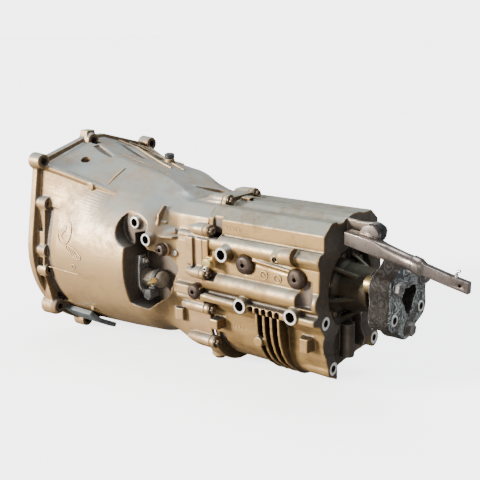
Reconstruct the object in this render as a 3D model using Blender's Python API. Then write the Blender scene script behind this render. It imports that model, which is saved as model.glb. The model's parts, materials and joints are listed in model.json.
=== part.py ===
"""Five-speed manual transmission for a front-engined, rear-driven car.

Written in millimetres from the shaft axis: x runs rearwards from the engine
face, y to the far side and z up. World metres are set in world().
"""
import math

import bpy
import bmesh
from mathutils import Vector

# Driving dimensions, millimetres
MIDDLE_X = 392.5          # half the overall length, so the origin sits mid-length
LUG_R = 15.0
LOW_LUG_Z = -154.0
LIFT_Z = LUG_R * math.cos(math.pi / 10) - LOW_LUG_Z   # the lowest bell lugs touch z = 0
FLANGE_R = 166.0          # engine face ring
FLANGE_T = 14.0
WALL = 7.0                # casting wall
JOINT_X = 358.0           # face between the two castings
HEAD_X = 367.0            # rear face of the joint flange, under the bolt heads
FRONT_CHAMBER_R = 79.0
BULKHEAD_X = (246.0, 268.0)
REAR_WALL_X = (532.0, 556.0)
CASE_END_X = 577.0
CASE_TOP = 110.0
COUNTER_Z = -81.0         # countershaft axis below the main shaft
MODULE = 4.05             # gear tooth size
IDLER_Y, IDLER_Z = 36.37, -63.18
RAIL_Z = 70.0
RAIL_Y = {"12": -16.0, "34": 0.0, "5r": 16.0}
SELECTOR_Z = 93.0
GATE_X = 356.0
LEVER_X = 204.0           # release lever plane
LEVER_TILT = math.atan2(21.0, 98.0)
PIVOT_ARM = 61.4          # pivot ball from the shaft axis, along the lever
BALL_X = 207.0
SLAVE_X, SLAVE_Y, SLAVE_Z = 222.0, -98.0, -21.0
DISC_R = 48.0             # bolt circle of the coupling disc
ARM_PIVOT = (630.0, 97.0)
BREATHER = (178.0, 26.0)
DRAIN = (334.0, -28.0)
FILL = (345.0, -26.0)
LOBE = (231.0, 70.0)      # upper lobe of the slave cylinder pocket
GAP = 0.3

MATERIALS = {
    "bell_casting": ((0.36, 0.33, 0.29), 0.55, 0.6),
    "case_casting": ((0.33, 0.28, 0.21), 0.5, 0.6),
    "alloy": ((0.55, 0.54, 0.51), 0.35, 0.9),
    "steel": ((0.42, 0.42, 0.42), 0.35, 0.95),
    "gear_steel": ((0.34, 0.35, 0.36), 0.3, 0.95),
    "zinc": ((0.62, 0.62, 0.6), 0.3, 0.9),
    "brown_plug": ((0.14, 0.1, 0.07), 0.45, 0.7),
    "brass": ((0.68, 0.5, 0.22), 0.35, 0.9),
    "rubber": ((0.035, 0.037, 0.035), 0.75, 0.0),
    "disc_rubber": ((0.1, 0.11, 0.105), 0.6, 0.0),
    "black_plastic": ((0.03, 0.03, 0.03), 0.5, 0.0),
}


def clear_scene():
    for obj in list(bpy.data.objects):
        bpy.data.objects.remove(obj, do_unlink=True)


def world(p):
    return Vector(((p[0] - MIDDLE_X) * 0.001, p[1] * 0.001, (p[2] + LIFT_Z) * 0.001))


def tidy_mesh(mesh):
    work = bmesh.new()
    work.from_mesh(mesh)
    bmesh.ops.remove_doubles(work, verts=work.verts, dist=0.000002)
    bmesh.ops.dissolve_degenerate(work, edges=work.edges, dist=0.000005)
    bmesh.ops.recalc_face_normals(work, faces=work.faces)
    work.to_mesh(mesh)
    work.free()


def solid(name, points, faces):
    mesh = bpy.data.meshes.new(name)
    mesh.from_pydata([world(p) for p in points], [], faces)
    tidy_mesh(mesh)
    obj = bpy.data.objects.new(name, mesh)
    bpy.context.collection.objects.link(obj)
    return obj


def loft(rings, closed=False, name="shape"):
    """Skin over rings of equal point count, capped, or joined end to end when closed."""
    count = len(rings[0])
    points = [p for ring in rings for p in ring]
    faces = []
    for i in range(len(rings) if closed else len(rings) - 1):
        a, b = i * count, (i + 1) % len(rings) * count
        for j in range(count):
            k = (j + 1) % count
            faces.append((a + j, a + k, b + k, b + j))
    if not closed:
        last = (len(rings) - 1) * count
        faces += [tuple(range(count)), tuple(range(last, last + count))]
    return solid(name, points, faces)


def across(axis, along, pair):
    """Point at a distance along an axis; the pair is the two other coordinates in order."""
    if axis == "X":
        return (along, pair[0], pair[1])
    if axis == "Y":
        return (pair[0], along, pair[1])
    return (pair[0], pair[1], along)


def prism(axis, outline, start, end):
    return loft([[across(axis, s, p) for p in outline] for s in (start, end)])


def arc(centre, radius, start, end, steps):
    """Points on a circle from one angle in degrees to another, both ends included."""
    turn = [math.radians(start + (end - start) * i / steps) for i in range(steps + 1)]
    return [(centre[0] + radius * math.cos(t), centre[1] + radius * math.sin(t)) for t in turn]


def circle(centre, radius, steps, phase=0.0):
    return arc(centre, radius, phase, phase + 360.0 * (steps - 1) / steps, steps - 1)


def rod(axis, centre, stations, steps=20, phase=0.0):
    """Round bar with stepped radii, given as (distance along, radius)."""
    return loft([[across(axis, s, p) for p in circle(centre, r, steps, phase)]
                 for s, r in stations])


def tube(axis, centre, profile, steps=24):
    """Bored round piece: a closed profile of (distance along, radius) turned about the axis."""
    rings = []
    for i in range(steps):
        t = 2 * math.pi * i / steps
        rings.append([across(axis, s, (centre[0] + r * math.cos(t), centre[1] + r * math.sin(t)))
                      for s, r in profile])
    return loft(rings, closed=True)


def collar(axis, centre, start, end, inner, outer, steps=24):
    return tube(axis, centre, [(start, inner), (end, inner), (end, outer), (start, outer)], steps)


def box(low, high):
    outline = [(low[1], low[2]), (high[1], low[2]), (high[1], high[2]), (low[1], high[2])]
    return prism("X", outline, low[0], high[0])


def pin(start, end, radius, steps=12, end_radius=None):
    """Round bar between any two points."""
    a, b = Vector(start), Vector(end)
    run = (b - a).normalized()
    side = run.cross(Vector((0.31, 0.2, 0.93))).normalized()
    other = run.cross(side)
    rings = []
    for centre, r in ((a, radius), (b, radius if end_radius is None else end_radius)):
        turn = [2 * math.pi * i / steps for i in range(steps)]
        rings.append([tuple(centre + side * (r * math.cos(t)) + other * (r * math.sin(t)))
                      for t in turn])
    return loft(rings)


def apply_tools(base, tools, operation):
    for tool in tools:
        step = base.modifiers.new("shape", "BOOLEAN")
        step.operation = operation
        step.solver = "EXACT"
        step.object = tool
    graph = bpy.context.evaluated_depsgraph_get()
    mesh = bpy.data.meshes.new_from_object(base.evaluated_get(graph))
    base.modifiers.clear()
    base.data = mesh
    for tool in tools:
        bpy.data.objects.remove(tool, do_unlink=True)
    tidy_mesh(mesh)
    return base


def join(base, *tools):
    return apply_tools(base, tools, "UNION")


def cut(base, *tools):
    return apply_tools(base, tools, "DIFFERENCE")


def finish(obj, name, material, pivot=None):
    """Name the piece, give it its material and put its origin on its own axis."""
    obj.name = name
    obj.data.name = name
    shade = bpy.data.materials.get(material)
    if shade is None:
        colour, roughness, metallic = MATERIALS[material]
        shade = bpy.data.materials.new(material)
        shade.use_nodes = True
        surface = shade.node_tree.nodes["Principled BSDF"]
        surface.inputs["Base Color"].default_value = (*colour, 1.0)
        surface.inputs["Roughness"].default_value = roughness
        surface.inputs["Metallic"].default_value = metallic
    obj.data.materials.clear()
    obj.data.materials.append(shade)
    if pivot is not None:
        at = world(pivot)
        for vertex in obj.data.vertices:
            vertex.co -= at
        obj.location = at
    obj.data.shade_smooth()
    obj.data.set_sharp_from_angle(angle=math.radians(32))
    return obj


# ---------------------------------------------------------------- outlines

def ray_reach(outline, angle):
    """Distance from the shaft axis to a closed outline along one direction."""
    dy, dz = math.cos(angle), math.sin(angle)
    best = 0.0
    for (ay, az), (by, bz) in zip(outline, outline[1:] + outline[:1]):
        ey, ez = by - ay, bz - az
        den = dy * ez - dz * ey
        if abs(den) < 1e-9:
            continue
        reach = (ay * ez - az * ey) / den
        share = (ay * dz - az * dy) / den
        if -1e-6 <= share <= 1 + 1e-6 and reach > best:
            best = reach
    return best


def resample(outline, angles, x):
    return [(x, ray_reach(outline, t) * math.cos(t), ray_reach(outline, t) * math.sin(t))
            for t in angles]


def hull(points):
    """Smallest convex outline round a set of points, anticlockwise."""
    points = sorted(set(points))
    sides = []
    for run in (points, points[::-1]):
        chain = []
        for p in run:
            while len(chain) > 1 and ((chain[-1][0] - chain[-2][0]) * (p[1] - chain[-2][1])
                                      <= (chain[-1][1] - chain[-2][1]) * (p[0] - chain[-2][0])):
                chain.pop()
            chain.append(p)
        sides += chain[:-1]
    return sides


def bell_section(radius, corner, roof):
    """Barrel circle drawn out to two upper corners and a flat roof."""
    extra = [(s * y, z) for s in (-1, 1) for y, z in (corner, roof)]
    return hull(circle((0, 0), radius, 48) + extra)


def ring_sector(inner, outer, start, end):
    """Thick arc about the countershaft, for the lip under the joint face."""
    centre = (0, COUNTER_Z)
    return arc(centre, outer, start, end, 8) + arc(centre, inner, end, start, 8)


def case_outline(inset=0.0, lower=72.0):
    """Gearbox section: flat top, shelf, upright side and a round lower chamber."""
    i = inset
    right = [(lower - i, COUNTER_Z), (lower + 2 - i, -60), (90 - i, -40), (92 - i, -28),
             (92 - i, 54), (80 - i, 68), (78 - i, 92 - i * 0.4), (58 - i * 0.6, CASE_TOP - i)]
    bottom = arc((0, COUNTER_Z), lower - i, 180, 360, 16)
    left = [(-y, z) for y, z in reversed(right[1:])]
    return bottom + right[1:] + left


def near_outline():
    """Rear case section with its bulges, plate and ledge on the near side."""
    near = [(-58, CASE_TOP), (-78, 94), (-78, 72)]
    near += arc((-78, 55), 16, 112, 224, 4)
    near += [(-90, 43), (-91, 12)]
    near += arc((-84, -7), 17, 112, 244, 5)
    near += [(-92, -27), (-105, -28), (-105, -38), (-88, -42), (-75, -60)]
    far = [(92, -28), (92, 54), (80, 68), (78, 94), (58, CASE_TOP)]
    rounds = [p for y in (38, -38) for p in arc((y, CASE_TOP - 1), 6, 0, 180, 4)]
    return arc((0, COUNTER_Z), 72, 180, 360, 16) + [(74, -60), (90, -40)] + far + rounds + near


def gear_outline(teeth, phase, centre):
    """Straight-sided teeth with running clearance on the flanks."""
    pitch = teeth * MODULE / 2
    root, tip = pitch - 1.05 * MODULE, pitch + 0.75 * MODULE
    half = math.pi * MODULE / 4 * 0.88
    lean = math.tan(math.radians(20))
    low = min((half + 0.65 * MODULE * lean) / pitch, math.pi / teeth * 0.93)
    high = (half - 0.94 * MODULE * lean) / pitch
    points = []
    for i in range(teeth):
        mid = math.radians(phase) + 2 * math.pi * i / teeth
        for r, t in ((root, -low), (tip, -high), (tip, high), (root, low)):
            points.append((centre[0] + r * math.cos(mid + t), centre[1] + r * math.sin(mid + t)))
    return points


def meshed_phase(phase, teeth, partner_teeth, direction):
    """Phase that puts a gap of the partner on the tooth line, in degrees."""
    return direction + 180 + 180 / partner_teeth - (phase - direction) * teeth / partner_teeth


# ---------------------------------------------------------------- castings

BELL_LUGS = [(-136, 163), (136, 163), (-17, 187), (-58, LOW_LUG_Z), (58, LOW_LUG_Z)]
SIDE_LUGS = [(-138, 88), (138, 88), (-147, 4), (147, 4), (-147, -32), (147, -32), (-130, -106),
             (130, -106)]
JOINT_BOLTS = [(-86, 75), (-34, 115.5), (34, 115.5), (-98, 6), (-88, -56), (-76, -117),
               (86, 75), (98, 6), (76, -117)]


def bell_housing():
    angles = [math.radians(9 * i) for i in range(40)]
    barrel = [(0, FLANGE_R, (140, 162), (22, 195)), (FLANGE_T, FLANGE_R, (140, 162), (22, 195)),
              (FLANGE_T + 0.2, 155, (132, 154), (20, 188)), (90, 151, (112, 134), (34, 170)),
              (160, 148, (92, 120), (42, 156)), (232, 143, (80, 106), (44, 143))]
    stations = [(x, bell_section(*shape)) for x, *shape in barrel]
    shoulder = bell_section(133, (76, 100), (44, 134))
    stations.append((258, shoulder))
    case = case_outline(0.0, FRONT_CHAMBER_R)
    mixed = []
    for t in angles:
        reach = 0.42 * ray_reach(shoulder, t) + 0.58 * ray_reach(case, t)
        mixed.append((279, reach * math.cos(t), reach * math.sin(t)))
    rings = [resample(outline, angles, x) for x, outline in stations]
    rings.append(mixed)
    rings += [resample(case, angles, x) for x in (296, JOINT_X - GAP)]
    body = loft(rings)
    outer = loft([[(x, y * 0.99, z * 0.99) for x, y, z in ring] for ring in rings])

    adds = [rod("X", p, [(0, LUG_R), (26, 13)], 10) for p in BELL_LUGS]
    adds += [rod("X", p, [(2, 13), (36, 12)], 8) for p in SIDE_LUGS]
    adds += [rod("X", p, [(338, 8), (JOINT_X - GAP, 10)], 8) for p in JOINT_BOLTS]
    for s in (-1, 1):
        adds.append(pin((4, s * 134, 158), (172, s * 91, 111), 6, 6))
        adds.append(prism("X", [(s * 130, 84), (s * 146, 84), (s * 156, -30), (s * 140, -30)],
                          10.0, 32.0))
    adds.append(prism("X", [(-30, 190), (-25, 208), (-9, 208), (-4, 190), (8, 176), (-42, 176)],
                      0.0, 12.0))
    for y in (8, 30, 52):
        adds.append(pin((10, y * 1.25, 190 - y * 0.25), (228, y, 137), 4, 6))
    adds.append(box((322, -97, 17), (JOINT_X - GAP, -60, 57)))
    adds.append(box((300, -105, -34), (JOINT_X - GAP, -60, -18)))
    adds.append(rod("Z", DRAIN, [(-161, 14), (-135, 16)], 12))
    adds.append(box((284, -86, -90), (302, -50, -64)))
    adds.append(rod("Z", BREATHER, [(130, 11), (160, 9)], 10))
    adds.append(prism("X", ring_sector(76, 86, 203, 337), 344, JOINT_X - GAP))
    join(body, *adds)

    inside = [(-1, 147, (124, 146), (20, 180)), (90, 143, (104, 126), (32, 162)),
              (160, 140, (86, 112), (38, 148)), (226, 135, (74, 98), (40, 135)),
              (BULKHEAD_X[0], 118, (66, 88), (38, 118))]
    cuts = [loft([resample(bell_section(*shape), angles, x) for x, *shape in inside])]
    cuts.append(prism("X", case_outline(WALL, FRONT_CHAMBER_R), BULKHEAD_X[1], JOINT_X + 1))
    cut(body, *cuts)

    pocket = [(SLAVE_X, 56), (SLAVE_X, -63), (252, -72), (284, -46), (300, 2), (288, 22),
              (262, 36), (246, 62)]
    walls = [(SLAVE_X - 7, 62), (SLAVE_X - 7, -70), (254, -80), (291, -50), (308, 2), (292, 28),
             (268, 42), (249, 69)]
    walls = prism("Y", walls, -190, -74)
    join(walls, prism("Y", circle(LOBE, 31, 16), -190, -104))
    apply_tools(walls, [outer], "INTERSECT")
    join(body, walls)
    cut(body, prism("Y", pocket, -190, -82), prism("Y", circle(LOBE, 24, 16), -190, -111))

    cuts = [rod("X", (0, 0), [(240, 38.4), (270, 38.4)], 24),
            rod("X", (0, COUNTER_Z), [(251.5, 26.3), (270, 26.3)], 24),
            rod("X", (SLAVE_Y, SLAVE_Z), [(205, 13), (230, 13)], 16)]
    cuts += [rod("X", (y, RAIL_Z), [(252, 5.9), (270, 5.9)], 12) for y in RAIL_Y.values()]
    cuts += [rod("X", p, [(-1, 6), (40, 6)], 8) for p in BELL_LUGS + SIDE_LUGS]
    cuts += [rod("X", p, [(340, 5.1), (360, 5.1)], 6) for p in JOINT_BOLTS]
    cuts.append(rod("Z", BREATHER, [(146, 5.3), (170, 5.3)], 10))
    cuts.append(rod("Y", FILL, [(-110, 8.3), (-70, 8.3)], 12))
    cuts.append(rod("Z", DRAIN, [(-170, 8.3), (-130, 8.3)], 12))
    cut(body, *cuts)
    return finish(body, "bell_housing", "bell_casting")


def rear_case():
    body = prism("X", near_outline(), JOINT_X, CASE_END_X)
    adds = [rod("X", p, [(JOINT_X, 10), (HEAD_X, 10)], 8) for p in JOINT_BOLTS]
    for x in (464, 478, 492, 506):
        adds.append(prism("X", arc((0, COUNTER_Z), 77, 178, 262, 6) + [(-20, -120), (-50, -81)],
                          x, x + 6))
    adds.append(rod("Y", (476, -81), [(-86, 11), (-60, 13)], 14))
    adds.append(prism("Z", [(369, -60), (369, -82), (374, -90), (384, -90), (388, -60)], -90, -60))
    adds.append(prism("Z", [(540, -60), (542, -84), (547, -90), (557, -90), (561, -60)], -86, -56))
    for x, z in ((402, 45), (433, -33), (531, -33)):
        adds.append(rod("Y", (x, z), [(-108, 10), (-80, 12)], 14))
    for x, z in ((442, 33), (539, 27)):
        adds.append(rod("Y", (x, z), [(-95, 16), (-80, 17)], 16))
    for y, z in ((-71, -41), (-48, -121), (76, -108), (76, -36)):
        adds.append(rod("X", (y, z), [(536, 15), (CASE_END_X, 15)], 12))
    adds.append(prism("Y", [(548, 76), (548, 112), (600, 108), (626, 109), (638, 106), (642, 97),
                            (638, 88), (626, 85), (590, 86)], -16, -9))
    adds.append(prism("X", ring_sector(70, 86, 203, 337), JOINT_X, HEAD_X))
    join(body, *adds)

    cuts = [prism("X", case_outline(WALL), JOINT_X - 1, REAR_WALL_X[0])]
    recess = arc((0, 0), 64, -60, 240, 20) + arc((0, COUNTER_Z), 50, 200, 340, 8)
    cuts.append(prism("X", recess, REAR_WALL_X[1], CASE_END_X + 1))
    cuts += [rod("X", p, [(HEAD_X, 9.6), (382, 9.6)], 8, 22.5) for p in JOINT_BOLTS]
    cuts.append(rod("Y", (588, -81), [(-130, 37), (130, 37)], 16))
    cuts.append(rod("Z", (592, 14), [(-180, 52), (-112, 52)], 16))
    cut(body, *cuts)
    join(body, rod("Z", (564, 12), [(-122, 12), (-66, 12)], 14), box((540, 6, -90), (566, 18, -68)),
         box((475, 34, -76), (487, 71, -50)),
         rod("X", (IDLER_Y, IDLER_Z), [(474.6, 13), (487.4, 13)], 16))
    cuts = [rod("X", (0, 0), [(530, 42), (558, 42)], 24),
            rod("X", (IDLER_Y, IDLER_Z), [(470, 8.4), (495, 8.4)], 16),
            rod("X", (0, COUNTER_Z), [(530, 28.3), (553, 28.3)], 24),
            rod("X", (0, SELECTOR_Z), [(530, 8.4), (580, 8.4)], 16)]
    cuts += [rod("X", (y, RAIL_Z), [(530, 5.9), (552, 5.9)], 12) for y in RAIL_Y.values()]
    cuts += [rod("X", p, [(350, 5.1), (380, 5.1)], 6) for p in JOINT_BOLTS]
    cuts += [rod("Y", (x, z), [(-120, 8.3), (-70, 8.3)], 14)
             for x, z in ((442, 33), (539, 27))]
    cuts.append(rod("Y", (381, 29), [(-120, 7.3), (-70, 7.3)], 14))
    cuts += [rod("Y", (x, z), [(-112, 5), (-98, 5)], 10)
             for x, z in ((402, 45), (433, -33), (531, -33))]
    cuts += [rod("X", (y, z), [(556, 5.5), (580, 5.5)], 8)
             for y, z in ((-71, -41), (-48, -121), (76, -108), (76, -36))]
    cuts.append(rod("Y", ARM_PIVOT, [(-20, 5.3), (-5, 5.3)], 14))
    cut(body, *cuts)
    return finish(body, "rear_case", "case_casting")


def tail_housing():
    body = tube("X", (0, 0), [(556.4, 22), (607, 22), (607, 28.3), (620, 28.3), (620, 33),
                              (575, 38), (566, 44), (566, 60), (556.4, 60)], 20)
    ribs = []
    for i in range(6):
        t = math.radians(60 * i + 15)
        ribs.append(pin((566, 50 * math.cos(t), 50 * math.sin(t)),
                        (600, 33 * math.cos(t), 33 * math.sin(t)), 4, 6))
    join(body, *ribs)
    holes = [rod("X", (52 * math.cos(math.radians(60 * i + 45)),
                       52 * math.sin(math.radians(60 * i + 45))), [(550, 4), (570, 4)], 6)
             for i in range(6)]
    cut(body, *holes)
    return finish(body, "tail_housing", "case_casting")


def release_guide_tube():
    body = tube("X", (0, 0), [(120, 15), (239, 15), (239, 24), (245.7, 24), (245.7, 48),
                              (238, 48), (236, 24), (232, 19), (120, 19)], 24)
    return finish(body, "release_guide_tube", "alloy")


# ---------------------------------------------------------------- clutch release

def slave_cylinder():
    x, y, z = SLAVE_X, SLAVE_Y, SLAVE_Z
    body = rod("X", (y, z), [(x - 5, 12.4), (x + 3, 12.4), (x + 3.1, 15), (x + 46, 15),
                             (x + 54, 11)], 16)
    plate = [(y + 8, z + 18), (y + 2, z + 38), (y - 12, z + 38), (y - 15, z + 20),
             (y - 15, z - 14), (y - 2, z - 38), (y + 10, z - 38), (y + 13, z - 22)]
    join(body, prism("X", plate, x + GAP, x + 7), rod("Y", (x + 44, z), [(y - 22, 7), (y - 6, 7)], 10))
    cut(body, rod("X", (y, z), [(x - 9, 10.2), (x + 40, 10.2)], 16))
    return finish(body, "slave_cylinder", "black_plastic")


def slave_piston():
    y, z = SLAVE_Y, SLAVE_Z
    body = rod("X", (y, z), [(209.9, 5), (211, 6), (243, 6), (243.1, 9.7), (260, 9.7)], 16)
    return finish(body, "slave_piston", "steel", (SLAVE_X, y, z))


def slave_nut(name, y, z):
    face = SLAVE_X + 7 + GAP
    body = rod("X", (y, z), [(face, 8), (face + 7, 8), (face + 7.1, 5.5), (face + 11, 4.5)], 6)
    return finish(body, name, "zinc")


def hydraulic_pipe():
    x, y, z = SLAVE_X + 44, SLAVE_Y, SLAVE_Z
    path = [(x, y - 22.3, z), (x, y - 29, z), (x + 4, y - 33, z + 3), (x + 12, y - 34, z + 7),
            (x + 18, y - 34, z + 10)]
    rings = []
    turn = [2 * math.pi * i / 8 for i in range(8)]
    for i, p in enumerate(path):
        a, b = Vector(path[max(i - 1, 0)]), Vector(path[min(i + 1, len(path) - 1)])
        run = (b - a).normalized()
        side = run.cross(Vector((0, 0.3, 1))).normalized()
        other = run.cross(side)
        rings.append([tuple(Vector(p) + side * 3.2 * math.cos(t) + other * 3.2 * math.sin(t))
                      for t in turn])
    return finish(loft(rings), "hydraulic_pipe", "brass")


def on_lever(x, along, offset):
    """Point in the lever's own plane: along its length and across it."""
    c, s = math.cos(LEVER_TILT), math.sin(LEVER_TILT)
    return (x, along * c - offset * s, along * s + offset * c)


def release_lever():
    outline = [(-106, -9), (-106, 9), (-60, 16), (-34, 36), (34, 36), (70, 14), (74, 0),
               (70, -14), (34, -36), (-34, -36), (-60, -16)]
    rings = [[on_lever(x, a, o) for a, o in outline] for x in (LEVER_X - 4, LEVER_X + 3)]
    body = loft(rings)
    nose = LEVER_X - 5.6
    adds = [pin(on_lever(nose, 0, s * 22), on_lever(nose, 0, s * 33), 5, 12) for s in (-1, 1)]
    adds.append(pin(on_lever(196, PIVOT_ARM, 0), on_lever(205, PIVOT_ARM, 0), 13))
    adds.append(pin(on_lever(LEVER_X - 1, -100.2, -8), on_lever(LEVER_X - 1, -100.2, 8), 6, 12))
    join(body, *adds)
    opening = [(-26, -20), (-26, 20), (26, 20), (26, -20)]
    hole = loft([[on_lever(x, a, o) for a, o in opening] for x in (LEVER_X - 20, LEVER_X + 20)])
    centre = on_lever(0, PIVOT_ARM, 0)[1:]
    socket = rod("X", centre, [(199.6, 4), (201, 6.5), (204, 8.2), (215, 8.2)], 12)
    cut(body, hole, socket)
    return finish(body, "release_lever", "steel", (BALL_X, *centre))


def pivot_ball():
    p = on_lever(0, PIVOT_ARM, 0)
    ball = [(BALL_X - 6.8 * math.cos(math.radians(a)), 6.8 * math.sin(math.radians(a)))
            for a in (20, 45, 70, 95, 120)]
    body = rod("X", p[1:], ball + [(222, 4.5), (222.1, 8), (234, 8), (234.1, 5), (245.5, 5)], 12)
    return finish(body, "pivot_ball", "steel")


def release_bearing():
    body = tube("X", (0, 0), [(150, 19.5), (190, 19.5), (190, 22), (178, 22), (178, 24),
                              (193, 24), (193, 36), (168, 36), (168, 33), (150, 33)], 20)
    return finish(body, "release_bearing", "steel", (170, 0, 0))


# ---------------------------------------------------------------- gear train

def phases():
    """Tooth phases of every gear, so that all are in mesh at rest."""
    up = 90.0
    counter = {"input": up, "3": up, "2": up, "1": up, "5": up, "reverse": up}
    main = {key: meshed_phase(counter[key], counter_teeth, main_teeth, up)
            for key, (counter_teeth, main_teeth) in TEETH.items()}
    towards = math.degrees(math.atan2(IDLER_Z - COUNTER_Z, IDLER_Y))
    idler = meshed_phase(counter["reverse"], 10, 10, towards)
    onwards = math.degrees(math.atan2(-IDLER_Z, -IDLER_Y))
    main["reverse"] = meshed_phase(idler, 10, 26, onwards)
    return counter, main, idler


TEETH = {"input": (23, 17), "3": (18, 22), "2": (14, 26), "1": (10, 30), "5": (25, 15)}
GEAR_X = {"input": (276, 300), "3": (336, 356), "2": (362, 382), "1": (418, 442),
          "reverse": (452, 470), "5": (506, 526)}
HUB_X = {"34": 318.0, "12": 400.0, "5r": 488.0}


def input_shaft():
    _, main, _ = phases()
    body = rod("X", (0, 0), [(6, 6), (9, 7.5), (22, 7.5), (22.01, 11), (130, 11), (130.01, 12.5),
                             (247.5, 12.5), (247.51, 17.5), (272, 17.5), (277, 18)], 24)
    join(body, prism("X", gear_outline(17, main["input"], (0, 0)), *GEAR_X["input"]),
         rod("X", (0, 0), [(298, 28), (307, 27)], 24))
    cut(body, rod("X", (0, 0), [(283, 9.6), (310, 9.6)], 16))
    return finish(body, "input_shaft", "gear_steel", (200, 0, 0))


def main_shaft():
    body = rod("X", (0, 0), [(284, 9), (302.5, 9), (308.5, 9), (308.51, 15), (531, 15),
                             (533, 17.5), (555, 17.5), (555.01, 16), (642, 16), (642.01, 11),
                             (658, 11)], 20)
    return finish(body, "main_shaft", "steel", (450, 0, 0))


def loose_gear(name, key, teeth, rings):
    """Gear that runs free on the main shaft, with plain dog rings towards its sleeves."""
    _, main, _ = phases()
    body = prism("X", gear_outline(teeth, main[key], (0, 0)), *GEAR_X[key])
    dog = 25.5 if teeth < 20 else 28.0
    join(body, *[rod("X", (0, 0), [(a, dog), (b, dog)], 20) for a, b in rings])
    cut(body, rod("X", (0, 0), [(200, 15.4), (700, 15.4)], 20))
    return finish(body, name, "gear_steel", (sum(GEAR_X[key]) / 2, 0, 0))


def countershaft():
    counter, _, _ = phases()
    body = rod("X", (0, COUNTER_Z), [(253, 12.8), (254, 13), (550, 13), (551, 12.8)], 20)
    teeth = {key: pair[0] for key, pair in TEETH.items()}
    teeth["reverse"] = 10
    gears = [prism("X", gear_outline(teeth[key], counter[key], (0, COUNTER_Z)), *span)
             for key, span in GEAR_X.items()]
    join(body, *gears)
    return finish(body, "countershaft", "gear_steel", (400, 0, COUNTER_Z))


def reverse_idler():
    _, _, idler = phases()
    centre = (IDLER_Y, IDLER_Z)
    body = prism("X", gear_outline(10, idler, centre), *GEAR_X["reverse"])
    cut(body, rod("X", centre, [(440, 8.3), (480, 8.3)], 16))
    return finish(body, "reverse_idler", "gear_steel", (461, *centre))


def reverse_idler_shaft():
    body = rod("X", (IDLER_Y, IDLER_Z), [(447, 8), (488, 8)], 16)
    return finish(body, "reverse_idler_shaft", "steel")


def synchro(pair):
    x = HUB_X[pair]
    hub = collar("X", (0, 0), x - 9, x + 9, 15.3, 32, 24)
    finish(hub, f"hub_{pair}", "steel", (x, 0, 0))
    sleeve = tube("X", (0, 0), [(x - 9, 32.6), (x + 9, 32.6), (x + 9, 46), (x + 3, 46),
                                (x + 3, 42), (x - 3, 42), (x - 3, 46), (x - 9, 46)], 24)
    finish(sleeve, f"sleeve_{pair}", "gear_steel", (x, 0, 0))


def fork(pair):
    x, y = HUB_X[pair], RAIL_Y[pair]
    outline = arc((0, 0), 54, -10, 190, 14) + arc((0, 0), 42.9, 190, -10, 14)
    body = prism("X", outline, x - 2.5, x + 2.5)
    stem = [(y - 6.5, 46), (y + 6.5, 46), (y + 6.5, RAIL_Z - 4), (y - 6.5, RAIL_Z - 4)]
    join(body, prism("X", stem, x - 2.45, x + 2.45),
         rod("X", (y, RAIL_Z), [(x - 7, 9), (x + 7, 9)], 12))
    cut(body, rod("X", (y, RAIL_Z), [(x - 10, 5.9), (x + 10, 5.9)], 12))
    return finish(body, f"fork_{pair}", "alloy", (x, y, RAIL_Z))


def rail(pair):
    y = RAIL_Y[pair]
    body = rod("X", (y, RAIL_Z), [(261, 5.2), (262, 5.5), (541, 5.5), (542, 5.2)], 12)
    s = -1 if y < 0 else 1
    top, floor = RAIL_Z + 13, RAIL_Z + 6.2
    if y == 0:
        jaw = [(-2.8, RAIL_Z + 3), (2.8, RAIL_Z + 3), (2.8, top), (-2.8, top)]
    else:
        jaw = [(s * 3.4, floor), (s * 10.5, floor), (s * 10.5, RAIL_Z - 1), (s * 18, RAIL_Z - 1),
               (s * 18, top), (s * 3.4, top)]
    join(body, prism("X", jaw, GATE_X - 9, GATE_X + 9))
    cut(body, box((GATE_X - 3.6, y - 21, RAIL_Z + 7.4), (GATE_X + 3.6, y + 21, RAIL_Z + 18)))
    return finish(body, f"rail_{pair}", "steel", (GATE_X, y, RAIL_Z))


# ---------------------------------------------------------------- selector

def selector_shaft():
    body = rod("X", (0, SELECTOR_Z), [(336, 6), (590, 6), (604, 6)], 16)
    cut(body, rod("Y", (597, SELECTOR_Z), [(-10, 2.5), (10, 2.5)], 8))
    return finish(body, "selector_shaft", "steel", (500, 0, SELECTOR_Z))


def selector_finger():
    z = SELECTOR_Z
    outline = [(-2.2, z - 15), (2.2, z - 15), (2.2, z - 8), (-2.2, z - 8)]
    body = rod("X", (0, z), [(GATE_X - 6, 9), (GATE_X + 6, 9)], 16)
    join(body, prism("X", outline, GATE_X - 3, GATE_X + 3))
    cut(body, rod("X", (0, z), [(GATE_X - 9, 6.3), (GATE_X + 9, 6.3)], 16))
    return finish(body, "selector_finger", "steel", (GATE_X, 0, z))


def interlock_sleeve():
    body = collar("X", (0, SELECTOR_Z), 376, 396, 6.3, 9, 16)
    return finish(body, "interlock_sleeve", "steel", (386, 0, SELECTOR_Z))


# ---------------------------------------------------------------- bearings and seals

def rings():
    bearings = [("front_bearing", 0, 250, 266, 18, 37.8), ("main_rear_bearing", 0, 536, 554, 18, 41.2),
                ("counter_front_bearing", COUNTER_Z, 253, 266, 13.5, 25.8),
                ("counter_rear_bearing", COUNTER_Z, 536, 551, 13.5, 27.8)]
    for name, z, a, b, inner, outer in bearings:
        finish(collar("X", (0, z), a, b, inner, outer, 20), name, "steel")
    finish(collar("X", (0, 0), 240, 245, 12.9, 23.7, 20), "input_seal", "rubber")
    finish(collar("X", (0, 0), 609, 618, 16.4, 28, 20), "output_seal", "rubber")
    finish(collar("X", (0, SELECTOR_Z), 560, 568, 6.3, 8.1, 16), "selector_seal", "rubber")


# ---------------------------------------------------------------- output end

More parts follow.
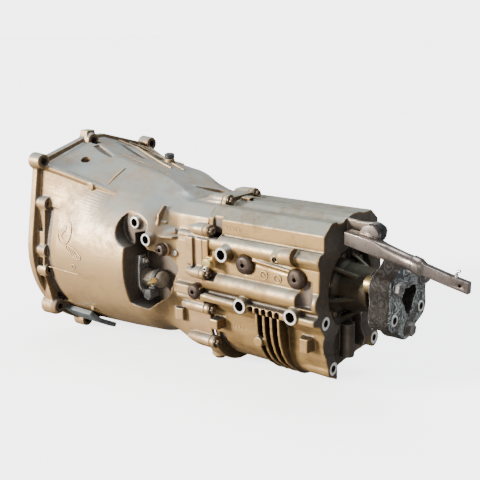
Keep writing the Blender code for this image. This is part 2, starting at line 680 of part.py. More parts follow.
def output_flange():
    hub = rod("X", (0, 0), [(622, 25), (634, 25), (646, 20)], 24)
    arms = []
    for angle in (30, 150, 270):
        t = math.radians(angle)
        c, s = math.cos(t), math.sin(t)
        arm = [(12, -15), (40, -11), (52, -11), (59, -5), (59, 5), (52, 11), (40, 11), (12, 15)]
        arms.append(prism("X", [(a * c - b * s, a * s + b * c) for a, b in arm], 628, 639))
    join(hub, *arms)
    cuts = [rod("X", (0, 0), [(600, 16.3), (660, 16.3)], 24)]
    cuts += [rod("X", (DISC_R * math.cos(math.radians(a)), DISC_R * math.sin(math.radians(a))),
                 [(600, 5.5), (660, 5.5)], 10) for a in (30, 150, 270)]
    cut(hub, *cuts)
    return finish(hub, "output_flange", "steel", (634, 0, 0))


def output_nut():
    body = rod("X", (0, 0), [(646.5, 17), (655, 17)], 12)
    cut(body, rod("X", (0, 0), [(640, 11.3), (660, 11.3)], 16))
    return finish(body, "output_nut", "zinc", (650, 0, 0))


def flex_disc():
    outline = []
    for i in range(36):
        t = 2 * math.pi * i / 36
        r = 61.5 + 4.5 * math.cos(6 * (t - math.radians(30)))
        outline.append((r * math.cos(t), r * math.sin(t)))
    inner = [(y * 0.955, z * 0.955) for y, z in outline]
    body = loft([[(x, y, z) for y, z in shape] for x, shape in
                 ((639.4, inner), (642, outline), (672, outline), (674.6, inner))])
    cuts = [rod("X", (0, 0), [(630, 26), (680, 26)], 20)]
    cuts += [rod("X", (DISC_R * math.cos(math.radians(60 * i + 30)),
                       DISC_R * math.sin(math.radians(60 * i + 30))),
                 [(630, 5.5), (680, 5.5)], 10) for i in range(6)]
    cut(body, *cuts)
    return finish(body, "flex_disc", "disc_rubber", (657, 0, 0))


# ---------------------------------------------------------------- shift arm

def shift_arm():
    x, z = ARM_PIVOT
    path = [(597, 90, 10, 11), (632, 84, 11, 11), (654, 79, 12, 11), (690, 70, 11, 11),
            (706, 66, 12, 12), (716, 63, 12, 12), (720, 61, 8, 7), (752, 54, 8, 6),
            (785, 47, 8, 6)]
    stations = []
    for px, pz, high, wide in path:
        ring = [(-45 + wide * c, high * s) for c, s in
                ((1, -0.5), (1, 0.5), (0.5, 1), (-0.5, 1), (-1, 0.5), (-1, -0.5), (-0.5, -1),
                 (0.5, -1))]
        stations.append([(px, y, pz + dz) for y, dz in ring])
    body = loft(stations)
    join(body, rod("Y", ARM_PIVOT, [(-44, 15), (-18, 15)], 20))
    cut(body, rod("Y", ARM_PIVOT, [(-39, 11.5), (-10, 11.5)], 20),
        rod("Y", (774, 49.5), [(-60, 2.6), (-30, 2.6)], 8))
    return finish(body, "shift_arm", "alloy", (x, -28, z))


def arm_bush():
    body = collar("Y", ARM_PIVOT, -38.5, -17, 5.4, 11.1, 16)
    return finish(body, "arm_bush", "rubber", (ARM_PIVOT[0], -28, ARM_PIVOT[1]))


def arm_pin():
    body = rod("Y", ARM_PIVOT, [(-37, 5), (-8.7, 5), (-8.6, 8.5), (-3, 8)], 14)
    return finish(body, "arm_pin", "zinc")


# ---------------------------------------------------------------- plugs and bolts

def plug(name, x, z, face_y):
    body = rod("Y", (x, z), [(face_y - 5, 10), (face_y - 4, 11), (face_y - 0.3, 11),
                             (face_y - 0.2, 8), (face_y + 12, 8)], 12)
    cut(body, rod("Y", (x, z), [(face_y - 9, 5), (face_y + 4, 5)], 6))
    return finish(body, name, "brown_plug")


def drain_plug():
    body = rod("Z", DRAIN, [(-166, 9), (-165, 10), (-161.3, 10), (-161.2, 8), (-138, 8)], 12)
    cut(body, rod("Z", DRAIN, [(-170, 4.5), (-158, 4.5)], 6))
    return finish(body, "drain_plug", "brown_plug")


def reverse_light_switch():
    body = rod("Y", (381, 29), [(-122, 5), (-121, 6), (-106, 6), (-105.9, 11), (-97, 11),
                                (-96.9, 7), (-76, 7)], 6)
    return finish(body, "reverse_light_switch", "brass")


def breather_cap():
    body = rod("Z", BREATHER, [(148, 4.8), (160.3, 4.8), (160.4, 7.5), (168, 7.5), (170, 6)], 16)
    return finish(body, "breather_cap", "black_plastic")


def case_bolt(name, y, z):
    face = HEAD_X + GAP
    head = rod("X", (y, z), [(344, 4), (face, 4), (face + 0.1, 8), (face + 2, 8),
                             (face + 2.1, 6.8), (face + 7, 6.4)], 12)
    return finish(head, name, "zinc")


def build():
    clear_scene()
    bell_housing()
    rear_case()
    tail_housing()
    release_guide_tube()
    slave_cylinder()
    slave_piston()
    slave_nut("slave_nut_upper", SLAVE_Y - 5, SLAVE_Z + 29)
    slave_nut("slave_nut_lower", SLAVE_Y + 4, SLAVE_Z - 29)
    hydraulic_pipe()
    release_lever()
    pivot_ball()
    release_bearing()
    input_shaft()
    main_shaft()
    loose_gear("gear_3", "3", 22, [(329, 340)])
    loose_gear("gear_2", "2", 26, [(378, 389)])
    loose_gear("gear_1", "1", 30, [(411, 422)])
    loose_gear("reverse_gear", "reverse", 26, [(465, 477)])
    loose_gear("gear_5", "5", 15, [(499, 510)])
    countershaft()
    reverse_idler()
    reverse_idler_shaft()
    for pair in HUB_X:
        synchro(pair)
        fork(pair)
        rail(pair)
    selector_shaft()
    selector_finger()
    interlock_sleeve()
    rings()
    output_flange()
    output_nut()
    flex_disc()
    shift_arm()
    arm_bush()
    arm_pin()
    plug("detent_plug_front", 442, 33, -95)
    plug("detent_plug_rear", 539, 27, -95)
    plug("fill_plug", *FILL, -105)
    drain_plug()
    reverse_light_switch()
    breather_cap()
    for name, spot in (("case_bolt_top", 1), ("case_bolt_shoulder", 0), ("case_bolt_side", 3),
                       ("case_bolt_lower", 4)):
        case_bolt(name, *JOINT_BOLTS[spot])


build()
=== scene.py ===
"""Looks of the five-speed manual transmission: cast cases, fasteners and materials.

Shapes are in millimetres from the shaft axis, as in the CAD: x rearwards from the
engine face, y to the far side and z up. world() turns them into the row frame.
"""
import json
import math

import bmesh
import bpy
import numpy as np
from mathutils import Matrix, Vector

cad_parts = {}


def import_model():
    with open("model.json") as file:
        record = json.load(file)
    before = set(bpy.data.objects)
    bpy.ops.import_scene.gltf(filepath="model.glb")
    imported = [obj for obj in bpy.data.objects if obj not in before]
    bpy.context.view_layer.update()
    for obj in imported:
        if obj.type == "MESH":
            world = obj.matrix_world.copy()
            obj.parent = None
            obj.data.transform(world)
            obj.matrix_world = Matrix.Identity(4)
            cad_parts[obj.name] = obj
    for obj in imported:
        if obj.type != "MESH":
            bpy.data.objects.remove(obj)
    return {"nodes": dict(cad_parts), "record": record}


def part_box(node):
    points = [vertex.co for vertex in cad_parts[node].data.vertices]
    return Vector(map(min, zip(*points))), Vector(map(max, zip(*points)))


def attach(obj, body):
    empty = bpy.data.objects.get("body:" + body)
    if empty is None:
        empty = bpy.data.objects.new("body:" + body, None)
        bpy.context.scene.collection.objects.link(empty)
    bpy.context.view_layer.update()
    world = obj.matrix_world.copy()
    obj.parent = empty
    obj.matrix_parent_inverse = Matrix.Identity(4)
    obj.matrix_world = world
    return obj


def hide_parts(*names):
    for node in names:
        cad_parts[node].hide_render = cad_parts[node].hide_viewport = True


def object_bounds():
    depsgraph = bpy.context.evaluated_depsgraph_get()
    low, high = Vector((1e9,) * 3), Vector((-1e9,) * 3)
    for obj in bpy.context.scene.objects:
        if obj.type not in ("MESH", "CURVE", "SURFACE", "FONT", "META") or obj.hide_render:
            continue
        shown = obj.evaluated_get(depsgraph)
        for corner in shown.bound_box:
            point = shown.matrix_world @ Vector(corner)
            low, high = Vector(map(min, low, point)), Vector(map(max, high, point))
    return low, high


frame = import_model()
CAD_LOW, CAD_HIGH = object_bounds()

# Places taken from the frame: the engine face and the shaft axis in metres, the
# countershaft's height and the joint face in millimetres from them
ENGINE_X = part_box("bell_housing")[0].x
AXIS_Z = (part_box("main_shaft")[0].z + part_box("main_shaft")[1].z) / 2
COUNTER_Z = ((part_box("countershaft")[0].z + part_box("countershaft")[1].z) / 2 - AXIS_Z) * 1000
JOINT_X = (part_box("rear_case")[0].x - ENGINE_X) * 1000

# Driving dimensions, millimetres
FLANGE_R = 166.0
FLANGE_T = 14.0
WALL = 7.0
HEAD_X = 367.0
FRONT_CHAMBER_R = 79.0
BULKHEAD_X = (246.0, 268.0)
REAR_WALL_X = (532.0, 556.0)
CASE_END_X = 577.0
CASE_TOP = 110.0
# How far cuts reach past what they cut: the barrel, the pocket and the end faces
PAST_BARREL = 180.0
PAST_POCKET = 190.0
PAST_FACES = 200.0
SLAVE_X, SLAVE_Y, SLAVE_Z = 222.0, -98.0, -21.0
LOBE = (225.0, 65.0)
LOBE_R = 29.0
LEVER_X = 204.0
LEVER_TILT = math.atan2(21.0, 98.0)
PIVOT_ARM = 61.4
DISC_R = 48.0
ARM_PIVOT = (630.0, 97.0)
ARM_Y = -45.0
BREATHER = (178.0, 26.0)
DRAIN = (334.0, -28.0)
FILL = (345.0, -26.0)
BELL_PLUG = (278.0, 34.0)
SWITCH = (381.0, 29.0)
SWITCH_TIP = (383.0, 22.0)
RAILS = [(-16, 70), (0, 70), (16, 70)]
IDLER = (36.37, -63.18)
IDLER_BOSS_X = (474.6, 487.4)
SELECTOR_Z = 93.0
LOW_LUG_Z = -154.0
GAP = 0.3                 # kept between touching pieces
RECESS = 3.2              # a surface sunk deeper than this gets painted shade
SKIN = 0.0013             # grid of the cast skin, metres
TOLERANCE = 0.05          # slack when faces are sorted by place

# Slots of a machined casting
AS_CAST, FRESH, BORED, SHADED, SUNK = range(5)

BELL_LUGS = [(-136, 163), (136, 163), (-17, 187), (-58, LOW_LUG_Z), (58, LOW_LUG_Z)]
SIDE_LUGS = [(-138, 88), (138, 88), (-147, 4), (147, 4), (-147, -32), (147, -32), (-130, -106),
             (130, -106)]
BELL_BOSSES = [(229, 76), (259, 52)]
JOINT_BOLTS = [(-86, 75), (-34, 115.5), (34, 115.5), (-98, 6), (-88, -56), (-76, -117),
               (86, 75), (98, 6), (76, -117)]
# Barrel of the bell: x, radius, upper corner and edge of the flat roof
BARREL = [(0, FLANGE_R, (140, 162), (22, 195)), (FLANGE_T, FLANGE_R, (140, 162), (22, 195)),
          (FLANGE_T + 0.5, 155, (132, 154), (20, 188)), (90, 151, (112, 134), (34, 170)),
          (160, 148, (92, 120), (42, 156)), (232, 143, (80, 106), (44, 143))]
REAR_BOSSES = [(-71, -41), (-48, -121), (76, -108), (76, -36)]
RING_BOSSES = [(406, 46), (441, -31), (537, -29)]
SIDE_PLUGS = [(442, 33), (539, 27)]
SIDE_PLUG_R = 15.6
PLUG_SEAT = -87.5


# ---------------------------------------------------------------- shape helpers

def world(p):
    return Vector((ENGINE_X + p[0] * 0.001, p[1] * 0.001, AXIS_Z + p[2] * 0.001))


def solid(points, faces):
    mesh = bpy.data.meshes.new("shape")
    mesh.from_pydata([world(p) for p in points], [], faces)
    work = bmesh.new()
    work.from_mesh(mesh)
    bmesh.ops.remove_doubles(work, verts=work.verts, dist=0.000002)
    bmesh.ops.recalc_face_normals(work, faces=work.faces)
    work.to_mesh(mesh)
    work.free()
    obj = bpy.data.objects.new("shape", mesh)
    bpy.context.scene.collection.objects.link(obj)
    return obj


def loft(rings, closed=False):
    """Skin over rings of equal point count, capped, or joined end to end when closed."""
    count = len(rings[0])
    points = [p for ring in rings for p in ring]
    faces = []
    for i in range(len(rings) if closed else len(rings) - 1):
        a, b = i * count, (i + 1) % len(rings) * count
        for j in range(count):
            k = (j + 1) % count
            faces.append((a + j, a + k, b + k, b + j))
    if not closed:
        last = (len(rings) - 1) * count
        faces += [tuple(range(count)), tuple(range(last, last + count))]
    return solid(points, faces)


def cross_loft(rings):
    """Skin over rings given as a place along the shaft and an outline across it."""
    return loft([[(x, y, z) for y, z in outline] for x, outline in rings])


def across(axis, along, pair):
    """Point at a distance along one axis, placed by the pair on the two others."""
    if axis == "X":
        return (along, pair[0], pair[1])
    if axis == "Y":
        return (pair[0], along, pair[1])
    return (pair[0], pair[1], along)


def prism(axis, outline, start, end):
    """Outline drawn out straight along an axis."""
    return loft([[across(axis, s, p) for p in outline] for s in (start, end)])


def arc(centre, radius, start, end, steps):
    turn = [math.radians(start + (end - start) * i / steps) for i in range(steps + 1)]
    return [(centre[0] + radius * math.cos(t), centre[1] + radius * math.sin(t)) for t in turn]


def circle(centre, radius, steps=48, phase=0.0):
    return arc(centre, radius, phase, phase + 360.0 * (steps - 1) / steps, steps - 1)


def wavy(radius, depth, lobes, steps, phase=0.0):
    """Round outline that swells at each lobe."""
    outline = []
    for i in range(steps):
        t = 2 * math.pi * i / steps
        r = radius + depth * math.cos(lobes * (t - phase))
        outline.append((r * math.cos(t), r * math.sin(t)))
    return outline


def around(steps, turns=1.0):
    """Angles spread evenly over whole or part turns, both ends included."""
    return [turns * 2 * math.pi * i / steps for i in range(steps + 1)]


def rod(axis, centre, stations, steps=48, phase=0.0):
    """Round bar with stepped radii, given as (distance along, radius)."""
    return loft([[across(axis, s, p) for p in circle(centre, r, steps, phase)]
                 for s, r in stations])


def tube(axis, centre, profile, steps=64):
    """Bored round piece: a closed profile of (distance along, radius) turned about the axis."""
    rings = []
    for i in range(steps):
        t = 2 * math.pi * i / steps
        rings.append([across(axis, s, (centre[0] + r * math.cos(t), centre[1] + r * math.sin(t)))
                      for s, r in profile])
    return loft(rings, closed=True)


def box(low, high):
    outline = [(low[1], low[2]), (high[1], low[2]), (high[1], high[2]), (low[1], high[2])]
    return prism("X", outline, low[0], high[0])


def sweep(path, radii, steps=20):
    """Round bar along a line of points, with one radius or one for each point."""
    skew = Vector((0.31, 0.2, 0.93))
    radii = radii if isinstance(radii, (list, tuple)) else [radii] * len(path)
    turn = [2 * math.pi * i / steps for i in range(steps)]
    rings = []
    for i, p in enumerate(path):
        a, b = Vector(path[max(i - 1, 0)]), Vector(path[min(i + 1, len(path) - 1)])
        run = (b - a).normalized()
        side = run.cross(skew).normalized()
        other = run.cross(side)
        rings.append([tuple(Vector(p) + side * (radii[i] * math.cos(t))
                            + other * (radii[i] * math.sin(t))) for t in turn])
    return loft(rings)


def settle(obj):
    """Make what the modifiers give the object's own mesh."""
    graph = bpy.context.evaluated_depsgraph_get()
    mesh = bpy.data.meshes.new_from_object(obj.evaluated_get(graph))
    obj.modifiers.clear()
    obj.data = mesh
    return obj


def combine(base, tools, operation):
    """Merge the tools into one small solid first, then use it once on the large one."""
    first, *others = tools
    for obj, group, how in ((first, others, "UNION"), (base, [first], operation)):
        for tool in group:
            step = obj.modifiers.new("shape", "BOOLEAN")
            step.operation = how
            step.solver = "MANIFOLD"
            step.object = tool
        settle(obj)
    for tool in tools:
        bpy.data.objects.remove(tool, do_unlink=True)
    return base


def join(base, *tools):
    return combine(base, tools, "UNION")


def cut(base, *tools):
    return combine(base, tools, "DIFFERENCE")


def bevel(obj, width, segments=2, angle=32):
    """Round every edge sharper than an angle."""
    step = obj.modifiers.new("edges", "BEVEL")
    step.width = width * 0.001
    step.segments = segments
    step.limit_method = "ANGLE"
    step.angle_limit = math.radians(angle)
    step.use_clamp_overlap = True
    return settle(obj)


def cast_skin(obj, rounds=5):
    """Rebuild the surface on a fine grid and soften every edge, as sand casting does."""
    skin = obj.modifiers.new("skin", "REMESH")
    skin.mode = "VOXEL"
    skin.voxel_size = SKIN
    soft = obj.modifiers.new("soft", "SMOOTH")
    soft.factor = 0.5
    soft.iterations = rounds
    return settle(obj)


def finish(obj, name, material, body, stands_for=(), smooth=35):
    """Name and dress a piece, and give it to the body that it moves with."""
    obj.name = name
    obj.data.name = name
    if len(obj.data.materials) < 2:
        obj.data.materials.clear()
        obj.data.materials.append(material)
    obj.data.shade_smooth()
    obj.data.set_sharp_from_angle(angle=math.radians(smooth))
    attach(obj, body)
    if stands_for:
        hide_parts(*stands_for)


# ---------------------------------------------------------------- materials

class Shade:
    """Small helper for building a Principled material out of procedural layers."""

    def __init__(self, name, roughness, metallic):
        self.material = bpy.data.materials.new(name)
        self.material.use_nodes = True
        self.tree = self.material.node_tree
        self.surface = self.tree.nodes["Principled BSDF"]
        self.surface.inputs["Metallic"].default_value = metallic
        self.surface.inputs["Roughness"].default_value = roughness
        self.place = self.node("ShaderNodeTexCoord").outputs["Object"]

    def node(self, kind, **settings):
        made = self.tree.nodes.new(kind)
        for key, value in settings.items():
            setattr(made, key, value)
        return made

    def link(self, source, target):
        self.tree.links.new(source, target)

    def noise(self, scale, detail=4.0, roughness=0.55, distortion=0.0, stretch=None):
        made = self.node("ShaderNodeTexNoise")
        made.inputs["Scale"].default_value = scale
        made.inputs["Detail"].default_value = detail
        made.inputs["Roughness"].default_value = roughness
        made.inputs["Distortion"].default_value = distortion
        source = self.place
        if stretch:
            mapping = self.node("ShaderNodeMapping")
            mapping.inputs["Scale"].default_value = stretch
            self.link(source, mapping.inputs["Vector"])
            source = mapping.outputs["Vector"]
        self.link(source, made.inputs["Vector"])
        return made.outputs["Fac"]

    def ramp(self, source, low, high, start=0.0, end=1.0):
        made = self.node("ShaderNodeMapRange", interpolation_type="SMOOTHSTEP")
        made.inputs["From Min"].default_value = low
        made.inputs["From Max"].default_value = high
        made.inputs["To Min"].default_value = start
        made.inputs["To Max"].default_value = end
        self.link(source, made.inputs["Value"])
        return made.outputs["Result"]

    def maths(self, operation, a, b):
        made = self.node("ShaderNodeMath", operation=operation, use_clamp=True)
        for socket, value in zip(made.inputs, (a, b)):
            if isinstance(value, (int, float)):
                socket.default_value = value
            else:
                self.link(value, socket)
        return made.outputs["Value"]

    def mix(self, share, a, b):
        made = self.node("ShaderNodeMix", data_type="RGBA")
        if isinstance(share, (int, float)):
            made.inputs["Factor"].default_value = share
        else:
            self.link(share, made.inputs["Factor"])
        for socket, value in ((made.inputs[6], a), (made.inputs[7], b)):
            if isinstance(value, tuple):
                socket.default_value = (*value, 1.0)
            else:
                self.link(value, socket)
        return made.outputs[2]

    def facing(self, axis):
        """Share of the surface's direction that points along an axis."""
        parts = self.node("ShaderNodeSeparateXYZ")
        self.link(self.node("ShaderNodeNewGeometry").outputs["Normal"], parts.inputs[0])
        return parts.outputs[axis]

    def edge(self, low, high):
        """1 on outer edges, 0 elsewhere."""
        return self.ramp(self.node("ShaderNodeNewGeometry").outputs["Pointiness"], low, high)

    def hollow(self, distance, low=0.35, high=0.95):
        """1 in corners and recesses, 0 on open faces."""
        made = self.node("ShaderNodeAmbientOcclusion", samples=6, only_local=True)
        made.inputs["Distance"].default_value = distance
        return self.ramp(made.outputs["AO"], low, high, 1.0, 0.0)

    def colour(self, source):
        self.link(source, self.surface.inputs["Base Color"])

    def rough(self, source):
        self.link(source, self.surface.inputs["Roughness"])

    def bump(self, *layers):
        """Bump from (height, strength, depth in metres) layers, chained."""
        previous = None
        for height, strength, depth in layers:
            made = self.node("ShaderNodeBump")
            made.inputs["Strength"].default_value = strength
            made.inputs["Distance"].default_value = depth
            self.link(height, made.inputs["Height"])
            if previous:
                self.link(previous, made.inputs["Normal"])
            previous = made.outputs["Normal"]
        self.link(previous, self.surface.inputs["Normal"])


def casting(name, warm, top_light_tint, stain, grime_and_shade, metallic, stained):
    """Sand-cast aluminium: painted bluish-grey light on top, warm at the sides, blotchy stains and
    grease streaks, grease and painted shade in the corners, painted shade on rearward and downward
    faces, and worn edges with painted highlights.
    """
    s = Shade(name, 0.5, metallic)
    broad = s.noise(9, 3)
    blotch = s.noise(24, 7, 0.7, 0.2)
    streak = s.noise(30, 5, 0.6, 0.3, (0.35, 1.0, 1.0))
    grain = s.noise(1100, 3, 0.6)
    lumps = s.noise(260, 3, 0.5)
    # painted light: faces looking up are tinted bluish-grey, as if lit from overhead
    top = s.ramp(s.facing("Z"), 0.1, 0.75)
    top = s.maths("MULTIPLY", top, s.ramp(broad, 0.2, 0.5, 0.6, 1.0))
    tone = s.mix(top, warm, top_light_tint)
    tone = s.mix(s.ramp(blotch, 0.35, 0.75, 0.0, 0.8), tone, stain)
    tone = s.mix(s.ramp(streak, 0.52, 0.85, 0.0, stained), tone, grime_and_shade)
    tone = s.mix(s.ramp(grain, 0.5, 0.8, 0.0, 0.6), tone, stain)
    # grease and painted shade: corners and recesses are pulled towards the grease colour by
    # occlusion
    near = s.maths("MULTIPLY", s.hollow(0.006, 0.35, 0.95), 0.85)
    wide = s.maths("MULTIPLY", s.hollow(0.045, 0.25, 0.8), s.ramp(lumps, 0.25, 0.6, 0.7, 0.98))
    tone = s.mix(s.maths("MAXIMUM", near, wide), tone, grime_and_shade)
    # painted shade: faces looking rearwards and downwards are darkened towards the grease colour
    rear = s.ramp(s.facing("X"), 0.45, 0.9, 0.0, 0.72)
    under = s.ramp(s.facing("Z"), -0.85, -0.35, 0.5, 0.0)
    rear_and_under_shade = s.maths("MULTIPLY", s.maths("MAXIMUM", rear, under), s.ramp(lumps, 0.2, 0.6, 0.8, 1.0))
    tone = s.mix(rear_and_under_shade, tone, grime_and_shade)
    # worn edges with a painted highlight: pointy edges are lightened
    worn_and_lit_edge = s.maths("MULTIPLY", s.edge(0.52, 0.57), s.ramp(blotch, 0.3, 0.6, 0.3, 0.9))
    tone = s.mix(worn_and_lit_edge, tone, tuple(min(1.0, c * 1.5 + 0.05) for c in warm))
    s.colour(tone)
    s.rough(s.ramp(blotch, 0.3, 0.7, 0.36, 0.62))
    s.bump((broad, 0.12, 0.004), (lumps, 0.3, 0.0007), (grain, 0.4, 0.0003))
    return s.material


def machined(name, base, soil_and_corner_shade):
    """Fresh-cut metal with fine tool marks, a few soiled spots and painted shade in its corners."""
    s = Shade(name, 0.3, 0.5)
    marks = s.noise(900, 2, 0.5, 0.0, (1.0, 1.0, 0.15))
    spots = s.noise(160, 4, 0.6)
    tone = s.mix(s.ramp(spots, 0.55, 0.75, 0.0, 0.6), base, soil_and_corner_shade)
    # painted shade: corners are darkened by occlusion
    tone = s.mix(s.hollow(0.003), tone, soil_and_corner_shade)
    s.colour(tone)
    s.rough(s.ramp(marks, 0.3, 0.7, 0.22, 0.42))
    s.bump((marks, 0.12, 0.0001))
    return s.material


def worn_metal(name, base, tarnish, metallic, rough, grain=0.16):
    """Turned or pressed metal with tarnish, fine specks of soiling, soiling and painted shade in
    the corners, and rubbed edges with a painted highlight.
    """
    s = Shade(name, rough[0], metallic)
    dirt_and_corner_shade = (0.03, 0.022, 0.015)
    patch = s.noise(70, 5, 0.6, 0.3)
    fine = s.noise(800, 3, 0.6)
    scratch = s.noise(300, 2, 0.6, 0.0, (1.0, 0.12, 1.0))
    tone = s.mix(s.ramp(patch, 0.45, 0.7), base, tarnish)
    tone = s.mix(s.ramp(fine, 0.6, 0.8, 0.0, 0.35), tone, dirt_and_corner_shade)
    # soiling and painted shade: corners and recesses are darkened by occlusion
    tone = s.mix(s.maths("MULTIPLY", s.hollow(0.005), 0.85), tone, dirt_and_corner_shade)
    # rubbed edges with a painted highlight: pointy edges are lightened
    lit = s.maths("MULTIPLY", s.edge(0.53, 0.6), 0.5)
    tone = s.mix(lit, tone, tuple(min(1.0, c * 1.35) for c in base))
    s.colour(tone)
    s.rough(s.ramp(patch, 0.3, 0.7, *rough))
    s.bump((scratch, grain, 0.00015), (fine, grain, 0.0002))
    return s.material


def moulded(name, base, worn, rough=(0.45, 0.7)):
    """Rubber or plastic with a fine grain, dust and scuffs."""
    s = Shade(name, rough[0], 0.0)
    patch = s.noise(55, 5, 0.65, 0.5)
    fine = s.noise(500, 3, 0.6)
    tone = s.mix(s.ramp(patch, 0.42, 0.7, 0.0, 0.8), base, worn)
    tone = s.mix(s.ramp(fine, 0.6, 0.78, 0.0, 0.4), tone, worn)
    s.colour(tone)
    s.rough(s.ramp(patch, 0.3, 0.7, *rough))
    s.bump((patch, 0.1, 0.0005), (fine, 0.25, 0.0002))
    return s.material


def marbled_rubber(name):
    """Reinforced rubber worn through to pale contour lines of its winding."""
    s = Shade(name, 0.6, 0.0)
    s.surface.inputs["Specular IOR Level"].default_value = 0.12
    swirl = s.noise(26, 3, 0.5, 1.4)
    bands = s.node("ShaderNodeMath", operation="PINGPONG")
    bands.inputs[1].default_value = 0.035
    s.link(swirl, bands.inputs[0])
    line = s.ramp(bands.outputs[0], 0.0, 0.035)
    fine = s.noise(420, 4, 0.65)
    broad = s.noise(40, 4, 0.6)
    tone = s.mix(s.ramp(line, 0.2, 0.5), (0.42, 0.44, 0.43), (0.07, 0.075, 0.075))
    tone = s.mix(s.ramp(broad, 0.48, 0.66, 0.0, 0.8), tone, (0.05, 0.042, 0.035))
    tone = s.mix(s.ramp(fine, 0.58, 0.75, 0.0, 0.6), tone, (0.34, 0.35, 0.34))
    side = s.ramp(s.maths("ABSOLUTE", s.facing("X"), 0), 0.4, 0.85, 0.94, 0.0)
    tone = s.mix(side, tone, (0.011, 0.007, 0.005))
    s.colour(tone)
    s.rough(s.ramp(fine, 0.3, 0.7, 0.5, 0.75))
    s.bump((line, 0.35, 0.0005), (fine, 0.35, 0.0003))
    return s.material


BELL = casting("bell_casting_skin", (0.49, 0.315, 0.14), (0.31, 0.345, 0.335),
               (0.27, 0.165, 0.085), (0.03, 0.019, 0.012), 0.4, 0.45)
CASE = casting("case_casting_skin", (0.42, 0.262, 0.098), (0.35, 0.37, 0.325),
               (0.15, 0.08, 0.027), (0.02, 0.012, 0.006), 0.5, 0.75)
TAIL = casting("tail_casting_skin", (0.07, 0.05, 0.028), (0.05, 0.05, 0.035),
               (0.045, 0.03, 0.014), (0.01, 0.007, 0.004), 0.5, 0.6)
# painted shade: a dimmer casting skin for faces sunk into recesses
SHADED_RECESS = casting("shaded_recess_skin", (0.20, 0.155, 0.12), (0.17, 0.16, 0.14),
               (0.12, 0.09, 0.065), (0.018, 0.013, 0.009), 0.35, 0.6)
BRIGHT = machined("machined_face", (0.86, 0.84, 0.80), (0.30, 0.25, 0.18))
BORE = worn_metal("drilled_bore", (0.05, 0.035, 0.025), (0.02, 0.014, 0.01), 0.5, (0.4, 0.6))
# painted shade: a dim look for faced bosses that look rearwards, away from the key lamp
SHADED_FACE = worn_metal("shaded_face", (0.10, 0.075, 0.055), (0.05, 0.035, 0.025), 0.5,
                        (0.4, 0.6))
BOLT = worn_metal("bolt_steel", (0.17, 0.13, 0.09), (0.06, 0.045, 0.03), 0.85, (0.3, 0.5))
ZINC = worn_metal("zinc_plate", (0.66, 0.65, 0.61), (0.36, 0.34, 0.30), 0.95, (0.22, 0.42))
BROWN = worn_metal("brown_plug_steel", (0.036, 0.02, 0.013), (0.07, 0.046, 0.03), 0.4,
                   (0.35, 0.6))
BRASS = worn_metal("aged_brass", (0.62, 0.47, 0.20), (0.30, 0.21, 0.09), 0.95, (0.25, 0.45))
STEEL = worn_metal("shaft_steel", (0.48, 0.47, 0.45), (0.28, 0.26, 0.23), 0.95, (0.2, 0.38),
                   grain=0.08)
GEAR = worn_metal("gear_steel_oiled", (0.36, 0.36, 0.36), (0.20, 0.18, 0.15), 0.95,
                  (0.2, 0.36), grain=0.08)
FORGED = worn_metal("forged_steel", (0.12, 0.10, 0.085), (0.06, 0.045, 0.035), 0.75, (0.4, 0.6),
                    grain=0.3)
GOLD = worn_metal("yellow_passivate", (0.50, 0.38, 0.18), (0.26, 0.18, 0.09), 0.9, (0.3, 0.5))
ARM = worn_metal("arm_alloy", (0.22, 0.185, 0.17), (0.09, 0.065, 0.05), 0.9, (0.22, 0.4))
ALLOY = worn_metal("turned_alloy", (0.56, 0.55, 0.52), (0.38, 0.35, 0.30), 0.9, (0.25, 0.45))
GREY_PLASTIC = moulded("slave_plastic", (0.13, 0.105, 0.075), (0.21, 0.18, 0.13))
GREY_STEEL = worn_metal("grey_steel", (0.26, 0.25, 0.24), (0.12, 0.105, 0.09), 0.8, (0.3, 0.5))
LIP = worn_metal("pressed_cover", (0.20, 0.23, 0.24), (0.12, 0.12, 0.115), 0.6, (0.4, 0.6))
BLACK = moulded("black_plastic_worn", (0.022, 0.022, 0.022), (0.075, 0.07, 0.065))
RUBBER = moulded("bush_rubber", (0.018, 0.019, 0.019), (0.07, 0.075, 0.075), (0.35, 0.6))
SEAL = moulded("seal_rubber", (0.025, 0.02, 0.018), (0.06, 0.05, 0.04), (0.3, 0.5))
DISC = marbled_rubber("disc_rubber_marbled")


# ---------------------------------------------------------------- outlines

def ray_reach(outline, angle):
    """Distance from the shaft axis to a closed outline along one direction."""
    dy, dz = math.cos(angle), math.sin(angle)
    best = 0.0
    for (ay, az), (by, bz) in zip(outline, outline[1:] + outline[:1]):
        ey, ez = by - ay, bz - az
        den = dy * ez - dz * ey
        if abs(den) < 1e-9:
            continue
        reach = (ay * ez - az * ey) / den
        share = (ay * dz - az * dy) / den
        if -1e-6 <= share <= 1 + 1e-6 and reach > best:
            best = reach
    return best


def hull(points):
    """Convex outline round the points."""
    points = sorted(set(points))
    sides = []
    for run in (points, points[::-1]):
        chain = []
        for p in run:
            while len(chain) > 1 and ((chain[-1][0] - chain[-2][0]) * (p[1] - chain[-2][1])
                                      <= (chain[-1][1] - chain[-2][1]) * (p[0] - chain[-2][0])):
                chain.pop()
            chain.append(p)
        sides += chain[:-1]
    return sides


def bell_section(radius, corner, roof):
    """Barrel circle drawn out to two upper corners and a flat roof."""
    extra = [(s * y, z) for s in (-1, 1) for y, z in (corner, roof)]
    return hull(circle((0, 0), radius, 120) + extra)


def ring_sector(inner, outer, start, end):
    """Thick arc about the countershaft, for the lip under the joint face."""
    centre = (0, COUNTER_Z)
    return arc(centre, outer, start, end, 40) + arc(centre, inner, end, start, 40)


